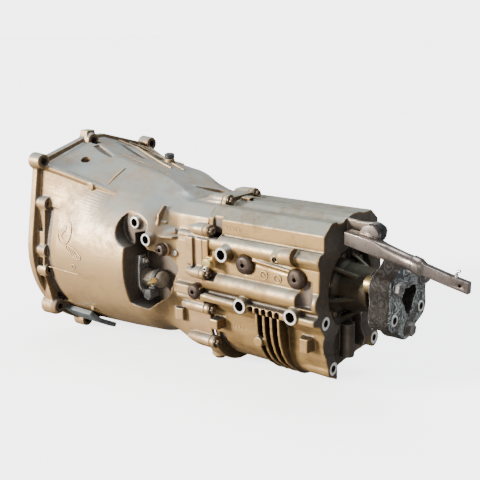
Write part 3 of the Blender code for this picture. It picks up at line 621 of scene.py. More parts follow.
def case_outline(inset=0.0, lower=72.0):
    """Gearbox section: flat top, shelf, upright side and a round lower chamber."""
    i = inset
    right = [(lower - i, COUNTER_Z), (lower + 2 - i, -60), (90 - i, -40), (92 - i, -28),
             (92 - i, 54), (80 - i, 68), (78 - i, 92 - i * 0.4), (58 - i * 0.6, CASE_TOP - i)]
    bottom = arc((0, COUNTER_Z), lower - i, 180, 360, 48)
    left = [(-y, z) for y, z in reversed(right[1:])]
    return bottom + right[1:] + left


def near_outline():
    """Rear case section with its bulges, plate and ledge on the near side."""
    crown = [(34, CASE_TOP), (20, CASE_TOP + 4), (0, CASE_TOP + 4), (-18, CASE_TOP + 1),
             (-26, CASE_TOP - 4), (-38, CASE_TOP - 4), (-44, CASE_TOP)]
    near = [(-58, CASE_TOP), (-78, 94), (-78, 72)]
    near += arc((-78, 55), 16, 112, 224, 16)
    near += [(-90, 43), (-91, 12)]
    near += arc((-84, -7), 17, 112, 244, 16)
    near += [(-92, -27), (-105, -28), (-105, -38), (-88, -42), (-75, -60)]
    far = [(92, -28), (92, 54), (80, 68), (78, 94), (58, CASE_TOP)]
    return arc((0, COUNTER_Z), 72, 180, 360, 48) + [(74, -60), (90, -40)] + far + crown + near


def smooth_between(keys, xs):
    """Cubic values at xs through (x, list of reaches) keys, flat at both ends."""
    out = []
    for x in xs:
        i = max(k for k in range(len(keys) - 1) if keys[k][0] <= x or k == 0)
        (xa, a), (xb, b) = keys[i], keys[i + 1]
        before, after = keys[max(i - 1, 0)], keys[min(i + 2, len(keys) - 1)]
        span = xb - xa
        t = (x - xa) / span
        slope_a = (b - before[1]) / (xb - before[0]) * span if i > 0 else 0 * a
        slope_b = (after[1] - a) / (after[0] - xa) * span if i + 2 < len(keys) else 0 * a
        out.append((x, (2 * t**3 - 3 * t**2 + 1) * a + (t**3 - 2 * t**2 + t) * slope_a
                    + (-2 * t**3 + 3 * t**2) * b + (t**3 - t**2) * slope_b))
    return out


# ---------------------------------------------------------------- machining

class Spot:
    """A faced-off boss: flat ring at one place along an axis, with a bore behind it."""

    def __init__(self, axis, centre, face, ring, bore, depth, look=FRESH, reach=14):
        self.axis, self.centre, self.face, self.reach = axis, centre, face, reach
        self.ring, self.bore, self.depth, self.look = ring, bore, depth, look

    def tool(self):
        out = -math.copysign(self.reach, self.depth)
        stations = [(self.face + out, self.ring), (self.face, self.ring),
                    (self.face, self.bore), (self.face + self.depth, self.bore)]
        return rod(self.axis, self.centre, stations, 40)


def sunk(centres, surface):
    """How far each point lies inside an outer surface, given as stations and reaches."""
    stations, reach = surface
    columns = reach.shape[1]
    turn = np.arctan2(centres[:, 2], centres[:, 1]) / (2 * math.pi) * columns % columns
    left = turn.astype(int) % columns
    share = turn - np.floor(turn)
    row = np.clip(np.searchsorted(stations, centres[:, 0]) - 1, 0, len(stations) - 2)
    stations = np.array(stations)
    along = (centres[:, 0] - stations[row]) / np.maximum(stations[row + 1] - stations[row], 0.01)
    along = np.clip(along, 0, 1)
    ends = [reach[r, left] * (1 - share) + reach[r, (left + 1) % columns] * share
            for r in (row, row + 1)]
    return ends[0] * (1 - along) + ends[1] * along - np.hypot(centres[:, 1], centres[:, 2])


def machine(obj, spots, surface, skin):
    """Cut every spot in one go; fresh faces and deep recesses get looks of their own."""
    cut(obj, *[s.tool() for s in spots])
    mesh = obj.data
    mesh.materials.clear()
    for look in (skin, BRIGHT, BORE, SHADED_FACE, SHADED_RECESS):
        mesh.materials.append(look)
    count = len(mesh.polygons)
    centres = np.empty(count * 3)
    mesh.polygons.foreach_get("center", centres)
    centres = centres.reshape(-1, 3) * 1000
    centres -= np.array([ENGINE_X, 0, AXIS_Z]) * 1000
    # painted shade: faces sunk deeper than RECESS take the shaded recess skin
    index = np.where(sunk(centres, surface) > RECESS, SUNK, AS_CAST).astype(np.int32)
    order = {"X": (0, 1, 2), "Y": (1, 0, 2), "Z": (2, 0, 1)}
    for s in spots:
        a, b, c = order[s.axis]
        away = np.hypot(centres[:, b] - s.centre[0], centres[:, c] - s.centre[1])
        along = centres[:, a] - s.face
        index[(away < s.ring + TOLERANCE) & (np.abs(along) < 1.2 * TOLERANCE)] = s.look
        depth = along * math.copysign(1, s.depth)
        inside = (depth > TOLERANCE) & (depth <= abs(s.depth) + 2 * TOLERANCE)
        index[(away < s.bore + TOLERANCE) & inside] = BORED
    mesh.polygons.foreach_set("material_index", index)


# ---------------------------------------------------------------- castings

def bell_rings(scale=1.0):
    angles = [math.radians(2 * i) for i in range(180)]

    def reaches(outline):
        return np.array([ray_reach(outline, t) for t in angles])

    rings = [(x, reaches(bell_section(*shape))) for x, *shape in BARREL]
    shoulder = reaches(bell_section(133, (76, 100), (44, 134)))
    case = reaches(case_outline(0.0, FRONT_CHAMBER_R))
    keys = [rings[-2], rings[-1], (258, shoulder), (279, 0.42 * shoulder + 0.58 * case),
            (298, case), (340, case)]
    xs = [232 + 5.5 * i for i in range(1, 13)]
    rings += smooth_between(keys, xs)
    rings += [(x, case) for x in (304, 330, JOINT_X - GAP)]
    return [[(x, r * scale * math.cos(t), r * scale * math.sin(t)) for r, t in zip(reach, angles)]
            for x, reach in rings]


def barrel_side(x, z, out=0.0):
    """Point on the near side of the barrel, a little proud of it if asked."""
    radius = float(np.interp(x, [row[0] for row in BARREL], [row[1] for row in BARREL])) + out
    return (x, -math.sqrt(max(radius**2 - z**2, 0)), z)


def on_roof(x, y, out=0.0):
    """Point on the bell's sloping roof, a little proud of it if asked."""
    edges = zip(*[corner + flat for _, _, corner, flat in BARREL])
    cy, cz, ry, rz = (float(np.interp(x, [row[0] for row in BARREL], e)) for e in edges)
    share = min(max((abs(y) - ry) / (cy - ry), 0), 1)
    return (x, y, rz + share * (cz - rz) + out)


def side_band(x, sink):
    """Band around the side of the bell, reaching a little below its outer surface."""
    xs = [row[0] for row in BARREL]
    radius = float(np.interp(x, xs, [row[1] for row in BARREL]))
    corner, roof = ([float(np.interp(x, xs, [row[k][i] for row in BARREL])) for i in (0, 1)]
                    for k in (2, 3))
    section = bell_section(radius, tuple(corner), tuple(roof))
    outer, inner = [], []
    for step in range(31):
        t = math.radians(149 + 70 * step / 30)
        reach = ray_reach(section, t) - sink
        outer.append((PAST_BARREL * math.cos(t), PAST_BARREL * math.sin(t)))
        inner.append((reach * math.cos(t), reach * math.sin(t)))
    return outer + inner[::-1]


def joint_pad(top):
    """Raised band of the joint between the two top bolts."""
    return [(-50, 96), (-46, top - 5), (-38, top), (38, top), (46, top - 5), (50, 96)]


def engine_and_joint_lugs():
    """Bolt lugs of the engine face's corners and of the joint face, and the joint's pad."""
    lugs = [rod("X", p, [(0, 14 if p[1] < 0 else 15), (26.5, 13)]) for p in BELL_LUGS]
    for p in JOINT_BOLTS:
        start = 306 if p[1] < 0 else 324
        lugs.append(rod("X", p, [(start, 5), (start + 14, 9), (JOINT_X - GAP, 10)]))
    lugs.append(cross_loft([(300, joint_pad(110)), (332, joint_pad(119)),
                            (JOINT_X - GAP, joint_pad(120))]))
    return lugs


def roof_shapes():
    """Corner beads with a small boss, the top lug's block, the raised plate and the ribs."""
    shapes = []
    for s in (-1, 1):
        shapes.append(sweep([(4, s * 134, 158), (60, s * 120, 143), (117, s * 106, 127),
                             (172, s * 91, 111)], [6.5, 5.5, 5, 3.5], 12))
        shapes.append(rod("Y", (117, 124), [(s * 112, 7), (s * 98, 8)], 32))
    shapes.append(prism("X", [(-31, 186), (-26, 206), (-8, 206), (-3, 186), (8, 172), (-42, 172)],
                        0.0, 20.0))
    edge = ((254, -31, 133), (262, -27, 130), (273, -12, 126), (285, 7, 121), (297, 24, 116),
            (314, 32, 113))
    shapes.append(cross_loft([(x, [(y, z - 16), (36, z - 16), (34, z), (y + 1, z)])
                              for x, y, z in edge]))
    for path in (((14, 52, 177), (66, 44, 173), (113, 37, 164), (160, 22, 157), (212, 6, 147)),
                 ((14, 88, 171), (66, 68, 169), (113, 56, 161), (160, 40, 155), (206, 24, 148)),
                 ((14, 112, 164), (50, 96, 164), (100, 76, 157), (160, 54, 150), (200, 40, 145))):
        shapes.append(cross_loft([(x, [(y - 2, z - 26), (y + 3, z - 26), (y + 1.6, z),
                                       (y - 1.6, z)]) for x, y, z in path]))
    return shapes


def neck_shapes():
    """Pads, bosses and small webs between the barrel and the joint face."""
    face = JOINT_X - GAP
    return [box((322, -97, 16), (face, -60, 62)), box((300, -105, -34), (face, -60, -18)),
            rod("Y", FILL, [(-91.5, 15), (-78, 16)]), rod("Z", DRAIN, [(-161.6, 14), (-135, 16)]),
            prism("Z", [(280, -60), (283, -84), (290, -91), (304, -88), (308, -60)], -90, -68),
            rod("Z", BREATHER, [(130, 11), (160.5, 9)]),
            prism("X", ring_sector(76, 86, 203, 337), 344, face),
            rod("Y", BELL_PLUG, [(-103.5, 12.5), (-84, 15)]),
            rod("Y", (297, 29), [(-96, 5), (-85, 5.5)], 32),
            prism("Z", [(258, -92), (267, -110), (296, -101), (306, -80)], 54, 58),
            prism("Z", [(258, -84), (264, -101), (277, -93), (281, -78)], 76, 79),
            prism("X", [(-76, 80), (-104, 74), (-101, 92), (-86, 106), (-74, 98)], 265, 269),
            sweep([(300, -84, 62), (face, -84, 62)], 6, 16),
            sweep([(296, -88, -43), (face, -90, -40)], [5, 7], 16),
            rod("Y", (110, -99), [(-118, 4), (-105, 5)], 24)]


def add_side_lugs(body):
    """Scoop the barrel out behind the flange, then stand the side lugs and their webs in it."""
    scoops, lugs = [], [rod("X", p, [(2, 13), (36.5, 12)]) for p in SIDE_LUGS[:-2]]
    lugs += [rod("X", p, [(2, 18), (28, 17), (36.5, 13)]) for p in SIDE_LUGS[-2:]]
    for s in (-1, 1):
        scoops.append(cross_loft([(x, [(s * -y, z) for y, z in side_band(x, sink)])
                                  for x, sink in ((FLANGE_T + 1, 4.5), (38, 4.5), (66, -1))]))
        lugs.append(prism("X", [(s * 131, 84), (s * 147, 84), (s * 158, -30), (s * 140, -30)],
                          10.0, 33.0))
        lugs.append(prism("X", [(s * 139, -32), (s * 158, -34), (s * 138, -108), (s * 124, -100)],
                          10.0, 30.0))
    cut(body, *scoops)
    join(body, *lugs)


def pocket_walls():
    """Walls of the slave cylinder's pocket, trimmed to the bell's outer shape."""
    walls = [(SLAVE_X - 7, 62), (SLAVE_X - 7, -70), (254, -80), (291, -50), (308, 2), (292, 28),
             (268, 42), (249, 69)]
    walls = prism("Y", walls, -PAST_POCKET, -74)
    join(walls, prism("Y", circle(LOBE, LOBE_R + 7), -PAST_POCKET, -104))
    return combine(walls, [loft(bell_rings(0.99))], "INTERSECT")


def bell_inside():
    """The clutch's space and the gears' space behind the bulkhead."""
    angles = [math.radians(3 * i) for i in range(120)]
    inside = [(-1, 147, (124, 146), (20, 180)), (90, 143, (104, 126), (32, 162)),
              (160, 140, (86, 112), (38, 148)), (226, 135, (74, 98), (40, 135)),
              (BULKHEAD_X[0], 118, (66, 88), (38, 118))]
    rings = []
    for x, *shape in inside:
        outline = bell_section(*shape)
        rings.append([(x, ray_reach(outline, t) * math.cos(t), ray_reach(outline, t) * math.sin(t))
                      for t in angles])
    return [loft(rings),
            prism("X", case_outline(WALL, FRONT_CHAMBER_R), BULKHEAD_X[1], JOINT_X + 1)]


def bell_recesses():
    """Slave cylinder's pocket with its lobe, roof grooves and pits between the side lugs."""
    pocket = [(SLAVE_X, 56), (SLAVE_X, -63), (252, -72), (284, -46), (300, 2), (288, 22),
              (262, 36), (246, 62)]
    cuts = [prism("Y", pocket, -PAST_POCKET, -82),
            prism("Y", circle(LOBE, LOBE_R), -PAST_POCKET, -111),
            box((337, -110, 12), (344.5, -92, 66))]
    for path in (((22, 34), (47, 29), (85, 18.5), (118, 9), (140, 3)),
                 ((20, 70), (50, 62), (95, 47), (140, 32), (162, 24)),
                 ((20, 100), (60, 84), (110, 62), (160, 40), (186, 26))):
        cuts.append(sweep([on_roof(x, y, 0.5) for x, y in path], [3, 5, 6, 6, 4], 14))
    cuts.append(sweep([on_roof(42, -25, 1), on_roof(66, -32, 1), on_roof(100, -40, 2)],
                      [7, 8, 5], 16))
    for low, high in ((39, 78), (-24, -9), (-88, -44)):
        widest = min(abs(low), abs(high))
        for s in (-1, 1):
            floor = abs(barrel_side(20, widest)[1]) - 3.5
            cuts.append(box((FLANGE_T + 1.5, min(s * floor, s * PAST_BARREL), low),
                            (29, max(s * floor, s * PAST_BARREL), high)))
    return cuts


def bell_marks():
    """Blank raised marks on the barrel, and fine beads on the barrel and the roof."""
    marks = [sweep([barrel_side(81 + 16 * math.cos(t), 44 + 21 * math.sin(t), 0.3)
                    for t in around(40)], 1.3, 8),
             sweep([barrel_side(79 + 5 * math.sin(2 * t), 44 + 11 * math.cos(t), 0.3)
                    for t in around(20, 0.5)], 1.1, 8),
             sweep([barrel_side(106 + 18 * math.cos(t), 12 + 7 * math.sin(t) - 8 * math.cos(t), 0.2)
                    for t in around(40)], 1.2, 8)]
    for k in range(3):
        marks.append(sweep([barrel_side(94 + 7 * k, 19 - 3 * k, 0.3),
                            barrel_side(103 + 7 * k, 6 - 3 * k, 0.3)], 1.2, 8))
    marks.append(sweep([barrel_side(104 + 4 * math.cos(t), -14 + 4 * math.sin(t), 0.2)
                        for t in around(24)], 1.0, 8))
    marks.append(sweep([on_roof(140, -92, -0.4), on_roof(141, -75, 0.2), on_roof(145, -55, 0.2),
                        on_roof(152, -30, -0.4)], [1.2, 1.7, 1.7, 1.2], 10))
    for start in (72, -24):
        marks.append(sweep([barrel_side(40 + 12 * i, start - 0.6 * i, 0.1) for i in range(7)],
                           0.8, 8))
    for path in (((22, 52), (50, 47), (90, 35), (130, 21), (170, 9), (205, 1)),
                 ((20, 86), (55, 74), (100, 56), (150, 36), (190, 22), (224, 14)),
                 ((20, 117), (60, 101), (110, 76), (160, 52), (200, 38))):
        marks.append(sweep([on_roof(x, y, 0.8) for x, y in path], [3.2, 3, 2.8, 2.6, 2.2, 1.6], 8))
    return marks


def bell_bores():
    """Bores for shafts, rails, plugs and the breather, a roof crease and both end faces."""
    cuts = [rod("X", (0, 0), [(240, 38.4), (270, 38.4)]),
            rod("X", (0, COUNTER_Z), [(251.5, 26.3), (270, 26.3)]),
            rod("X", (SLAVE_Y, SLAVE_Z), [(205, 13), (230, 13)]),
            rod("Z", BREATHER, [(146, 5.3), (170, 5.3)]),
            rod("Y", FILL, [(-110, 8.3), (-70, 8.3)]),
            rod("Z", DRAIN, [(-170, 8.3), (-130, 8.3)]),
            rod("Y", BELL_PLUG, [(-120, 6.3), (-84, 6.3)]),
            sweep([on_roof(96, -18), on_roof(126, -20), on_roof(176, -23), on_roof(231, -32)],
                  [1.4, 1.9, 1.9, 1.9], 8),
            box((-5, -PAST_FACES, -PAST_FACES), (0.35, PAST_FACES, 240)),
            box((JOINT_X - GAP - 0.2, -PAST_FACES, -PAST_FACES), (JOINT_X + 9, PAST_FACES, 240))]
    return cuts + [rod("X", p, [(252, 5.9), (270, 5.9)]) for p in RAILS]


def bell_casting():
    body = loft(bell_rings())
    join(body, *engine_and_joint_lugs(), *roof_shapes(), *neck_shapes())
    add_side_lugs(body)
    cut(body, *bell_inside())
    join(body, pocket_walls(), *[rod("X", p, [(FLANGE_T, 9.5), (34.5, 8.5)]) for p in SIDE_LUGS])
    cut(body, *bell_recesses())
    upper, lower = BELL_BOSSES
    join(body, rod("Y", upper, [(-119, 10.5), (-100, 12)]),
         rod("Y", lower, [(-125, 10.5), (-88, 12.5)]),
         sweep([(259, -106, 52), (292, -84, 62)], [9, 7], 24))
    cast_skin(body)
    join(body, *bell_marks())

    # painted shade on the lug faces that look rearwards and in the roof pit
    spots = [Spot("X", p, 26, 9, 6, -40, SHADED) for p in BELL_LUGS]
    spots += [Spot("X", p, 36, 11.5, 5, -16, SHADED, reach=0.8) for p in SIDE_LUGS]
    spots += [Spot("Y", upper, -118.5, 10, 6.8, 14), Spot("Y", lower, -124.5, 10, 7, 20)]
    spots.append(Spot("Z", (62, -70), on_roof(62, -70)[2] - 4, 9, 3.8, -12, SHADED))
    spots.append(Spot("Y", (297, 29), -95.6, 4.4, 0.8, 1))
    spots += [Spot("X", p, JOINT_X - GAP - 0.1, 9, 5.1, -16) for p in JOINT_BOLTS]
    cut(body, *bell_bores())
    rings = bell_rings()
    reach = np.array([[math.hypot(y, z) for _, y, z in ring] for ring in rings])
    machine(body, spots, ([ring[0][0] for ring in rings], reach), BELL)
    finish(body, "bell_casting", BELL, "case", ["bell_housing"], 50)


def cover_lip():
    """Pressed lip of the lower cover, standing out below the barrel on both sides."""
    for s, side in ((-1, "near"), (1, "far")):
        lip = arc((0, 0), 164, 223, 249, 16) + arc((0, 0), 156, 249, 223, 16)
        body = prism("X", [(s * -y, z) for y, z in lip], FLANGE_T + 20, 104)
        cut(body, *[sweep([(x, s * -150 * math.cos(t), 150 * math.sin(t)),
                           (x, s * -170 * math.cos(t), 170 * math.sin(t))], 2.6, 16)
                    for x, t in ((50, math.radians(232)), (92, math.radians(240)))])
        bevel(body, 1.2, 3)
        finish(body, f"cover_lip_{side}", LIP, "case")


def case_shapes():
    """Everything cast on to the outside of the case."""
    shapes = [rod("X", p, [(JOINT_X, 10), (HEAD_X + 0.5, 10)]) for p in JOINT_BOLTS]
    fin = [(-99, -36), (-97, -66), (-93, -84), (-86, -102), (-74, -120), (-58, -134)]
    fin += arc((0, COUNTER_Z), 77, 226, 264, 10) + [(-20, -120), (-50, -81), (-70, -40)]
    for i in range(4):
        x = 464 + 14 * i
        shapes.append(prism("X", fin, x, x + 4.5))
        shapes.append(prism("X", [(-y * 0.97, z) for y, z in fin], x - 40, x - 35.5))
    shapes += [rod("Y", (470, -86), [(-99, 8), (-60, 10)]),
               prism("Z", [(364, -60), (364, -90), (367, -93), (383, -93), (388, -60)], -88, -71),
               prism("Z", [(536, -56), (538, -84), (543, -90), (556, -90), (561, -56)], -88, -66)]
    shapes += [rod("Y", p, [(-108.5, 12.2), (-80, 14.5)]) for p in RING_BOSSES]
    shapes += [rod("X", p, [(520, 9), (540, 14), (CASE_END_X, 15)]) for p in REAR_BOSSES]
    shapes.append(prism("Y", [(548, 76), (548, 112), (600, 108), (626, 109), (638, 106), (642, 97),
                              (638, 88), (626, 85), (590, 86)], -16, -9))
    shapes += [prism("X", ring_sector(70, 86, 203, 337), JOINT_X, HEAD_X),
               sweep([(500, -88, 56), (514, -92, 58), (536, -93, 60)], [10, 13, 14], 24),
               sweep([(534, -90, 57), (CASE_END_X - 2, -87, 56)], 7.5, 24),
               box((JOINT_X, -97, 16), (370, -60, 62)), prism("X", joint_pad(120), JOINT_X, HEAD_X),
               sweep([(498, -92, 52), (505, -99, 53)], [8, 7], 24),
               box((372, -12, 108), (389, 3, 118.5)),
               sweep([(HEAD_X - 4, -100, -31), (441, -101, -33), (CASE_END_X, -94, -34)],
                     [6, 6, 5], 16),
               sweep([(HEAD_X - 4, -36, -135.5), (CASE_END_X - 16, -36, -134)], [6, 4.5], 16)]
    shapes += [sweep([(HEAD_X - 4, 91, z), (CASE_END_X, 90, z)], 5, 16) for z in (-18, 44)]
    shapes.append(sweep([(455, -90.5, 42), (526, -90.5, 36)], 3.0, 12))
    return shapes


def case_recesses():
    """The gears' space, the recess behind the rear wall and the hollows outside."""
    recess = arc((0, 0), 64, -60, 240, 60) + arc((0, COUNTER_Z), 50, 200, 340, 24)
    cuts = [prism("X", case_outline(WALL), JOINT_X - 1, REAR_WALL_X[0]),
            prism("X", recess, REAR_WALL_X[1], CASE_END_X + 1)]
    cuts += [rod("X", p, [(HEAD_X, 9.8), (384, 9.8)]) for p in JOINT_BOLTS]
    cuts += [rod("Y", (614, -81), [(-130, 41), (130, 41)]),
             rod("Z", (592, 14), [(-180, 52), (-112, 52)])]
    for i in range(5):
        x = 456 + 12.5 * i
        cuts.append(box((x, -112, -41), (x + 8.5, -93, -29)))
    cuts += [box((378, -8, 112), (392, -1, 116.5)),
             box((HEAD_X + 0.4, -112, 64), (386, -73.5, 98)),
             prism("X", ring_sector(67, 90, 196, 262), HEAD_X + 0.4, 380),
             rod("Z", (555, -101), [(-16, 15), (26, 15)]),
             sweep([(458, -93, 36.5), (524, -93, 31)], 3.8, 12),
             sweep([(388, -81, 71), (CASE_END_X + 2, -81, 71)], 3.4, 10)]
    return cuts + [rod("Y", p, [(-125, SIDE_PLUG_R + GAP), (PLUG_SEAT, SIDE_PLUG_R + GAP)])
                   for p in SIDE_PLUGS]


def case_marks():
    """Blank raised bosses, struck rings and short strokes."""
    marks = []
    for p in ((430, 20), (500, 20)):
        marks.append(rod("Y", p, [(88, 16), (96, 14), (97, 13)], 48))
        marks.append(rod("Y", p, [(96, 8), (100, 7.4)], 6))
    for x, z in ((477, 22), (503, 20.5)):
        marks.append(sweep([(x + 6.4 * math.cos(t), -91, z + 6.4 * math.sin(t))
                            for t in around(32)], 1.1, 8))
        marks.append(sweep([(x - 3, -91, z + 3), (x + 3, -91, z - 3)], 1.0, 8))
    for i in range(5):
        marks.append(sweep([(394 + 6 * i, -78, 86 - 0.3 * i), (397 + 6 * i, -78, 80 - 0.3 * i)],
                           0.9, 8))
    for i in range(4):
        marks.append(sweep([(402 + 6 * i, -72, -74), (402 + 6 * i, -72, -83)], 1.0, 8))
    return marks


def case_bores():
    """Bores for shafts, rails, plugs, switch and pin, and both end faces."""
    cuts = [rod("X", (0, 0), [(530, 42), (558, 42)]),
            rod("X", IDLER, [(470, 8.4), (495, 8.4)]),
            rod("X", (0, COUNTER_Z), [(530, 28.3), (553, 28.3)]),
            rod("X", (0, SELECTOR_Z), [(530, 8.4), (580, 8.4)]),
            rod("Y", SWITCH, [(-120, 7.3), (-70, 7.3)]),
            rod("Y", ARM_PIVOT, [(-20, 5.3), (-5, 5.3)]),
            box((JOINT_X - 5, -PAST_FACES, -PAST_FACES), (JOINT_X + 0.15, PAST_FACES, 240)),
            box((CASE_END_X - 0.05, -PAST_FACES, -PAST_FACES), (CASE_END_X + 5, PAST_FACES, 70))]
    cuts += [rod("Y", p, [(-120, 8.3), (-70, 8.3)]) for p in SIDE_PLUGS]
    return cuts + [rod("X", p, [(530, 5.9), (552, 5.9)]) for p in RAILS]


def case_casting():
    body = prism("X", near_outline(), JOINT_X, CASE_END_X)
    join(body, *case_shapes())
    cut(body, *case_recesses())
    join(body, rod("Z", (564, 12), [(-122, 12), (-66, 12)]), box((540, 6, -90), (566, 18, -68)),
         box((475, 34, -76), (487, 71, -50)),
         rod("X", IDLER, [(x, 13) for x in IDLER_BOSS_X]))
    cast_skin(body, 4)
    join(body, *case_marks())

    spots = [Spot("Y", p, -108, 11.4, 8.2, 12) for p in RING_BOSSES]
    spots += [Spot("X", p, CASE_END_X - 0.2, 10.5, 5.8, -22) for p in REAR_BOSSES]
    # painted shade on the rearward faces under the joint bolts
    spots += [Spot("X", p, HEAD_X, 9.7, 5.1, -14, SHADED) for p in JOINT_BOLTS]
    spots.append(Spot("Y", (505, 53), -98.5, 4.4, 2.6, 8))
    cut(body, *case_bores())
    outline = near_outline()
    reach = np.array([[ray_reach(outline, math.radians(i)) for i in range(360)]] * 2)
    machine(body, spots, ([JOINT_X, CASE_END_X], reach), CASE)
    finish(body, "case_casting", CASE, "case", ["rear_case"], 50)


def tail_casting():
    body = tube("X", (0, 0), [(556.4, 22), (607, 22), (607, 28.3), (620, 28.3), (620, 33),
                              (596, 35), (575, 38), (568, 42), (566, 48), (566, 60), (556.4, 60)],
                96)
    ribs = []
    for i in range(6):
        t = math.radians(60 * i + 15)
        ribs.append(sweep([(566, 50 * math.cos(t), 50 * math.sin(t)),
                           (600, 33 * math.cos(t), 33 * math.sin(t))], [4.5, 3.5], 12))
    join(body, *ribs)
    cast_skin(body, 3)
    spots = [Spot("X", p, 565.6, 6.5, 4, -12, BORED) for p in circle((0, 0), 52, 6, 45)]
    machine(body, spots, ([556, 620], np.zeros((2, 36))), TAIL)
    for i, s in enumerate(spots):
        hex_bolt(f"tail_bolt_{i + 1}", s.centre, 565.8, 5.2, 4)
    finish(body, "tail_casting", TAIL, "case", ["tail_housing"], 50)


# ---------------------------------------------------------------- fasteners

def hex_bolt(name, centre, face, radius, height, stands_for=(), lobes=False):
    """Flanged bolt head standing on a face that looks rearwards."""
    head = rod("X", centre, [(face + 0.05, radius * 1.35), (face + 1.2, radius * 1.35),
                             (face + 2.2, radius * 1.02), (face + 2.3, radius * 0.6)], 48)
    outline = wavy(radius * 0.9, radius * 0.08, 6, 72) if lobes else circle((0, 0), radius, 6, 12)
    join(head, cross_loft([(face + along, [(centre[0] + y * k, centre[1] + z * k)
                                           for y, z in outline])
                           for along, k in ((1.0, 1), (1.6 + height * 0.8, 1),
                                            (2.0 + height, 0.86))]))
    top = face + 2.0 + height
    cut(head, rod("X", centre, [(top - 1.0, radius * 0.42), (top, radius * 0.5),
                                (top + 2, radius * 0.6)], 24))
    bevel(head, 0.25)
    finish(head, name, BOLT, "case", stands_for)


def joint_bolts():
    nodes = {1: "case_bolt_top", 0: "case_bolt_shoulder", 3: "case_bolt_side",
             4: "case_bolt_lower"}
    for i, p in enumerate(JOINT_BOLTS):
        stands = [nodes[i]] if i in nodes else []
        hex_bolt(f"joint_bolt_{i + 1}", p, HEAD_X + GAP, 6.9, 5.2, stands, lobes=True)


def round_plug(name, centre, face, seat, radius, stands_for=()):
    """Screw plug standing on a seat, with a rounded rim and a hexagon socket."""
    body = rod("Y", centre, [(face - 5.0, radius * 0.62), (face - 4.4, radius * 0.78),
                             (face - 1.6, radius * 0.97), (face + 0.5, radius),
                             (seat - 0.1, radius), (seat, radius * 0.5), (seat + 12, radius * 0.5)],
               56)
    cut(body, rod("Y", centre, [(face - 9, 3.8), (face + 3, 3.8)], 6, 10))
    bevel(body, 0.3)
    finish(body, name, BROWN, "case", stands_for)


def plugs():
    for name, centre, node in (("plug_front", SIDE_PLUGS[0], "detent_plug_front"),
                               ("plug_rear", SIDE_PLUGS[1], "detent_plug_rear")):
        round_plug(name, centre, -95, PLUG_SEAT - GAP, SIDE_PLUG_R, [node])
    round_plug("plug_fill", FILL, -104, -91.5 - GAP, 13.4, ["fill_plug"])
    round_plug("plug_bell_side", BELL_PLUG, -108, -103.5 - GAP, 11.0)
    body = rod("Z", DRAIN, [(-166, 8.4), (-165, 9.6), (-164, 10), (-161.6, 10), (-161.5, 8),
                            (-138, 8)], 48)
    cut(body, rod("Z", DRAIN, [(-170, 4.5), (-158, 4.5)], 6))
    bevel(body, 0.3)
    finish(body, "plug_drain", BROWN, "case", ["drain_plug"])


def switch_and_breather():
    body = rod("Y", SWITCH, [(-106, 10.4), (-105, 11), (-98, 11), (-97, 10.4)], 6)
    join(body, rod("Y", SWITCH, [(-98, 7), (-76, 7)], 32),
         rod("Y", SWITCH, [(-115, 7.8), (-114, 8.6), (-105, 8.6)], 40))
    bevel(body, 0.35)
    finish(body, "switch_body", BRASS, "case", ["reverse_light_switch"])
    tip = rod("Y", SWITCH_TIP, [(-121, 3.6), (-120, 4.4), (-115.2, 4.4)], 32)
    cut(tip, rod("Y", SWITCH_TIP, [(-125, 1.8), (-118, 1.8)], 24))
    bevel(tip, 0.4)
    finish(tip, "switch_terminal", ZINC, "case")

    body = rod("Z", BREATHER, [(148, 4.8), (160.3, 4.8), (160.4, 8.4), (162, 9), (165, 9),
                               (165.1, 7.8), (166, 7.8), (166.1, 9), (168, 9), (170, 6.4)], 40)
    bevel(body, 0.3)
    finish(body, "breather_dome", BLACK, "case", ["breather_cap"])


def hex_nut(name, y, z, stands_for):
    face = SLAVE_X + 7 + GAP
    nut = rod("X", (y, z), [(face, 8), (face + 1.4, 8)], 40)
    join(nut, rod("X", (y, z), [(face + 1, 6.9), (face + 6.4, 6.9), (face + 7.2, 6.1)], 6, 14),
         rod("X", (y, z), [(face + 6, 3.9), (face + 10.5, 3.9), (face + 11.5, 3.2)], 32))
    bevel(nut, 0.3)
    finish(nut, name, ZINC, "case", stands_for)


# ---------------------------------------------------------------- clutch release

def slave_body():
    x, y, z = SLAVE_X, SLAVE_Y, SLAVE_Z
    body = rod("X", (y, z), [(x - 5, 12.4), (x + 8, 12.4), (x + 8.1, 14), (x + 14, 14),
                             (x + 14.1, 13.2), (x + 30, 13.2), (x + 30.1, 14.6), (x + 36, 15),
                             (x + 46, 15), (x + 51, 13.5), (x + 54, 10)], 72)
    join(body, rod("Y", (x + 44, z), [(y - 22, 6.4), (y - 21, 7), (y - 6, 7)], 40),
         box((x + 9, y - 15.6, z - 2), (x + 34, y - 9, z + 2)))
    cut(body, rod("X", (y, z), [(x - 9, 10.2), (x + 40, 10.2)]))
    bevel(body, 0.4)
    finish(body, "slave_body", GREY_PLASTIC, "case", ["slave_cylinder"])


def slave_bracket():
    x, y, z = SLAVE_X, SLAVE_Y, SLAVE_Z
    plate = [(y + 8, z + 18), (y + 2, z + 38), (y - 12, z + 38), (y - 15, z + 20),
             (y - 15, z - 14), (y - 2, z - 38), (y + 10, z - 38), (y + 13, z - 22)]
    bracket = prism("X", plate, x + GAP, x + 7)
    join(bracket, sweep([(x + 5.5, py + 1.5, pz) for py, pz in plate[2:6]], 2.2, 12))
    cut(bracket, rod("X", (y, z), [(x - 3, 12.7), (x + 12, 12.7)], 64))
    bevel(bracket, 0.5)
    finish(bracket, "slave_bracket", ALLOY, "case")


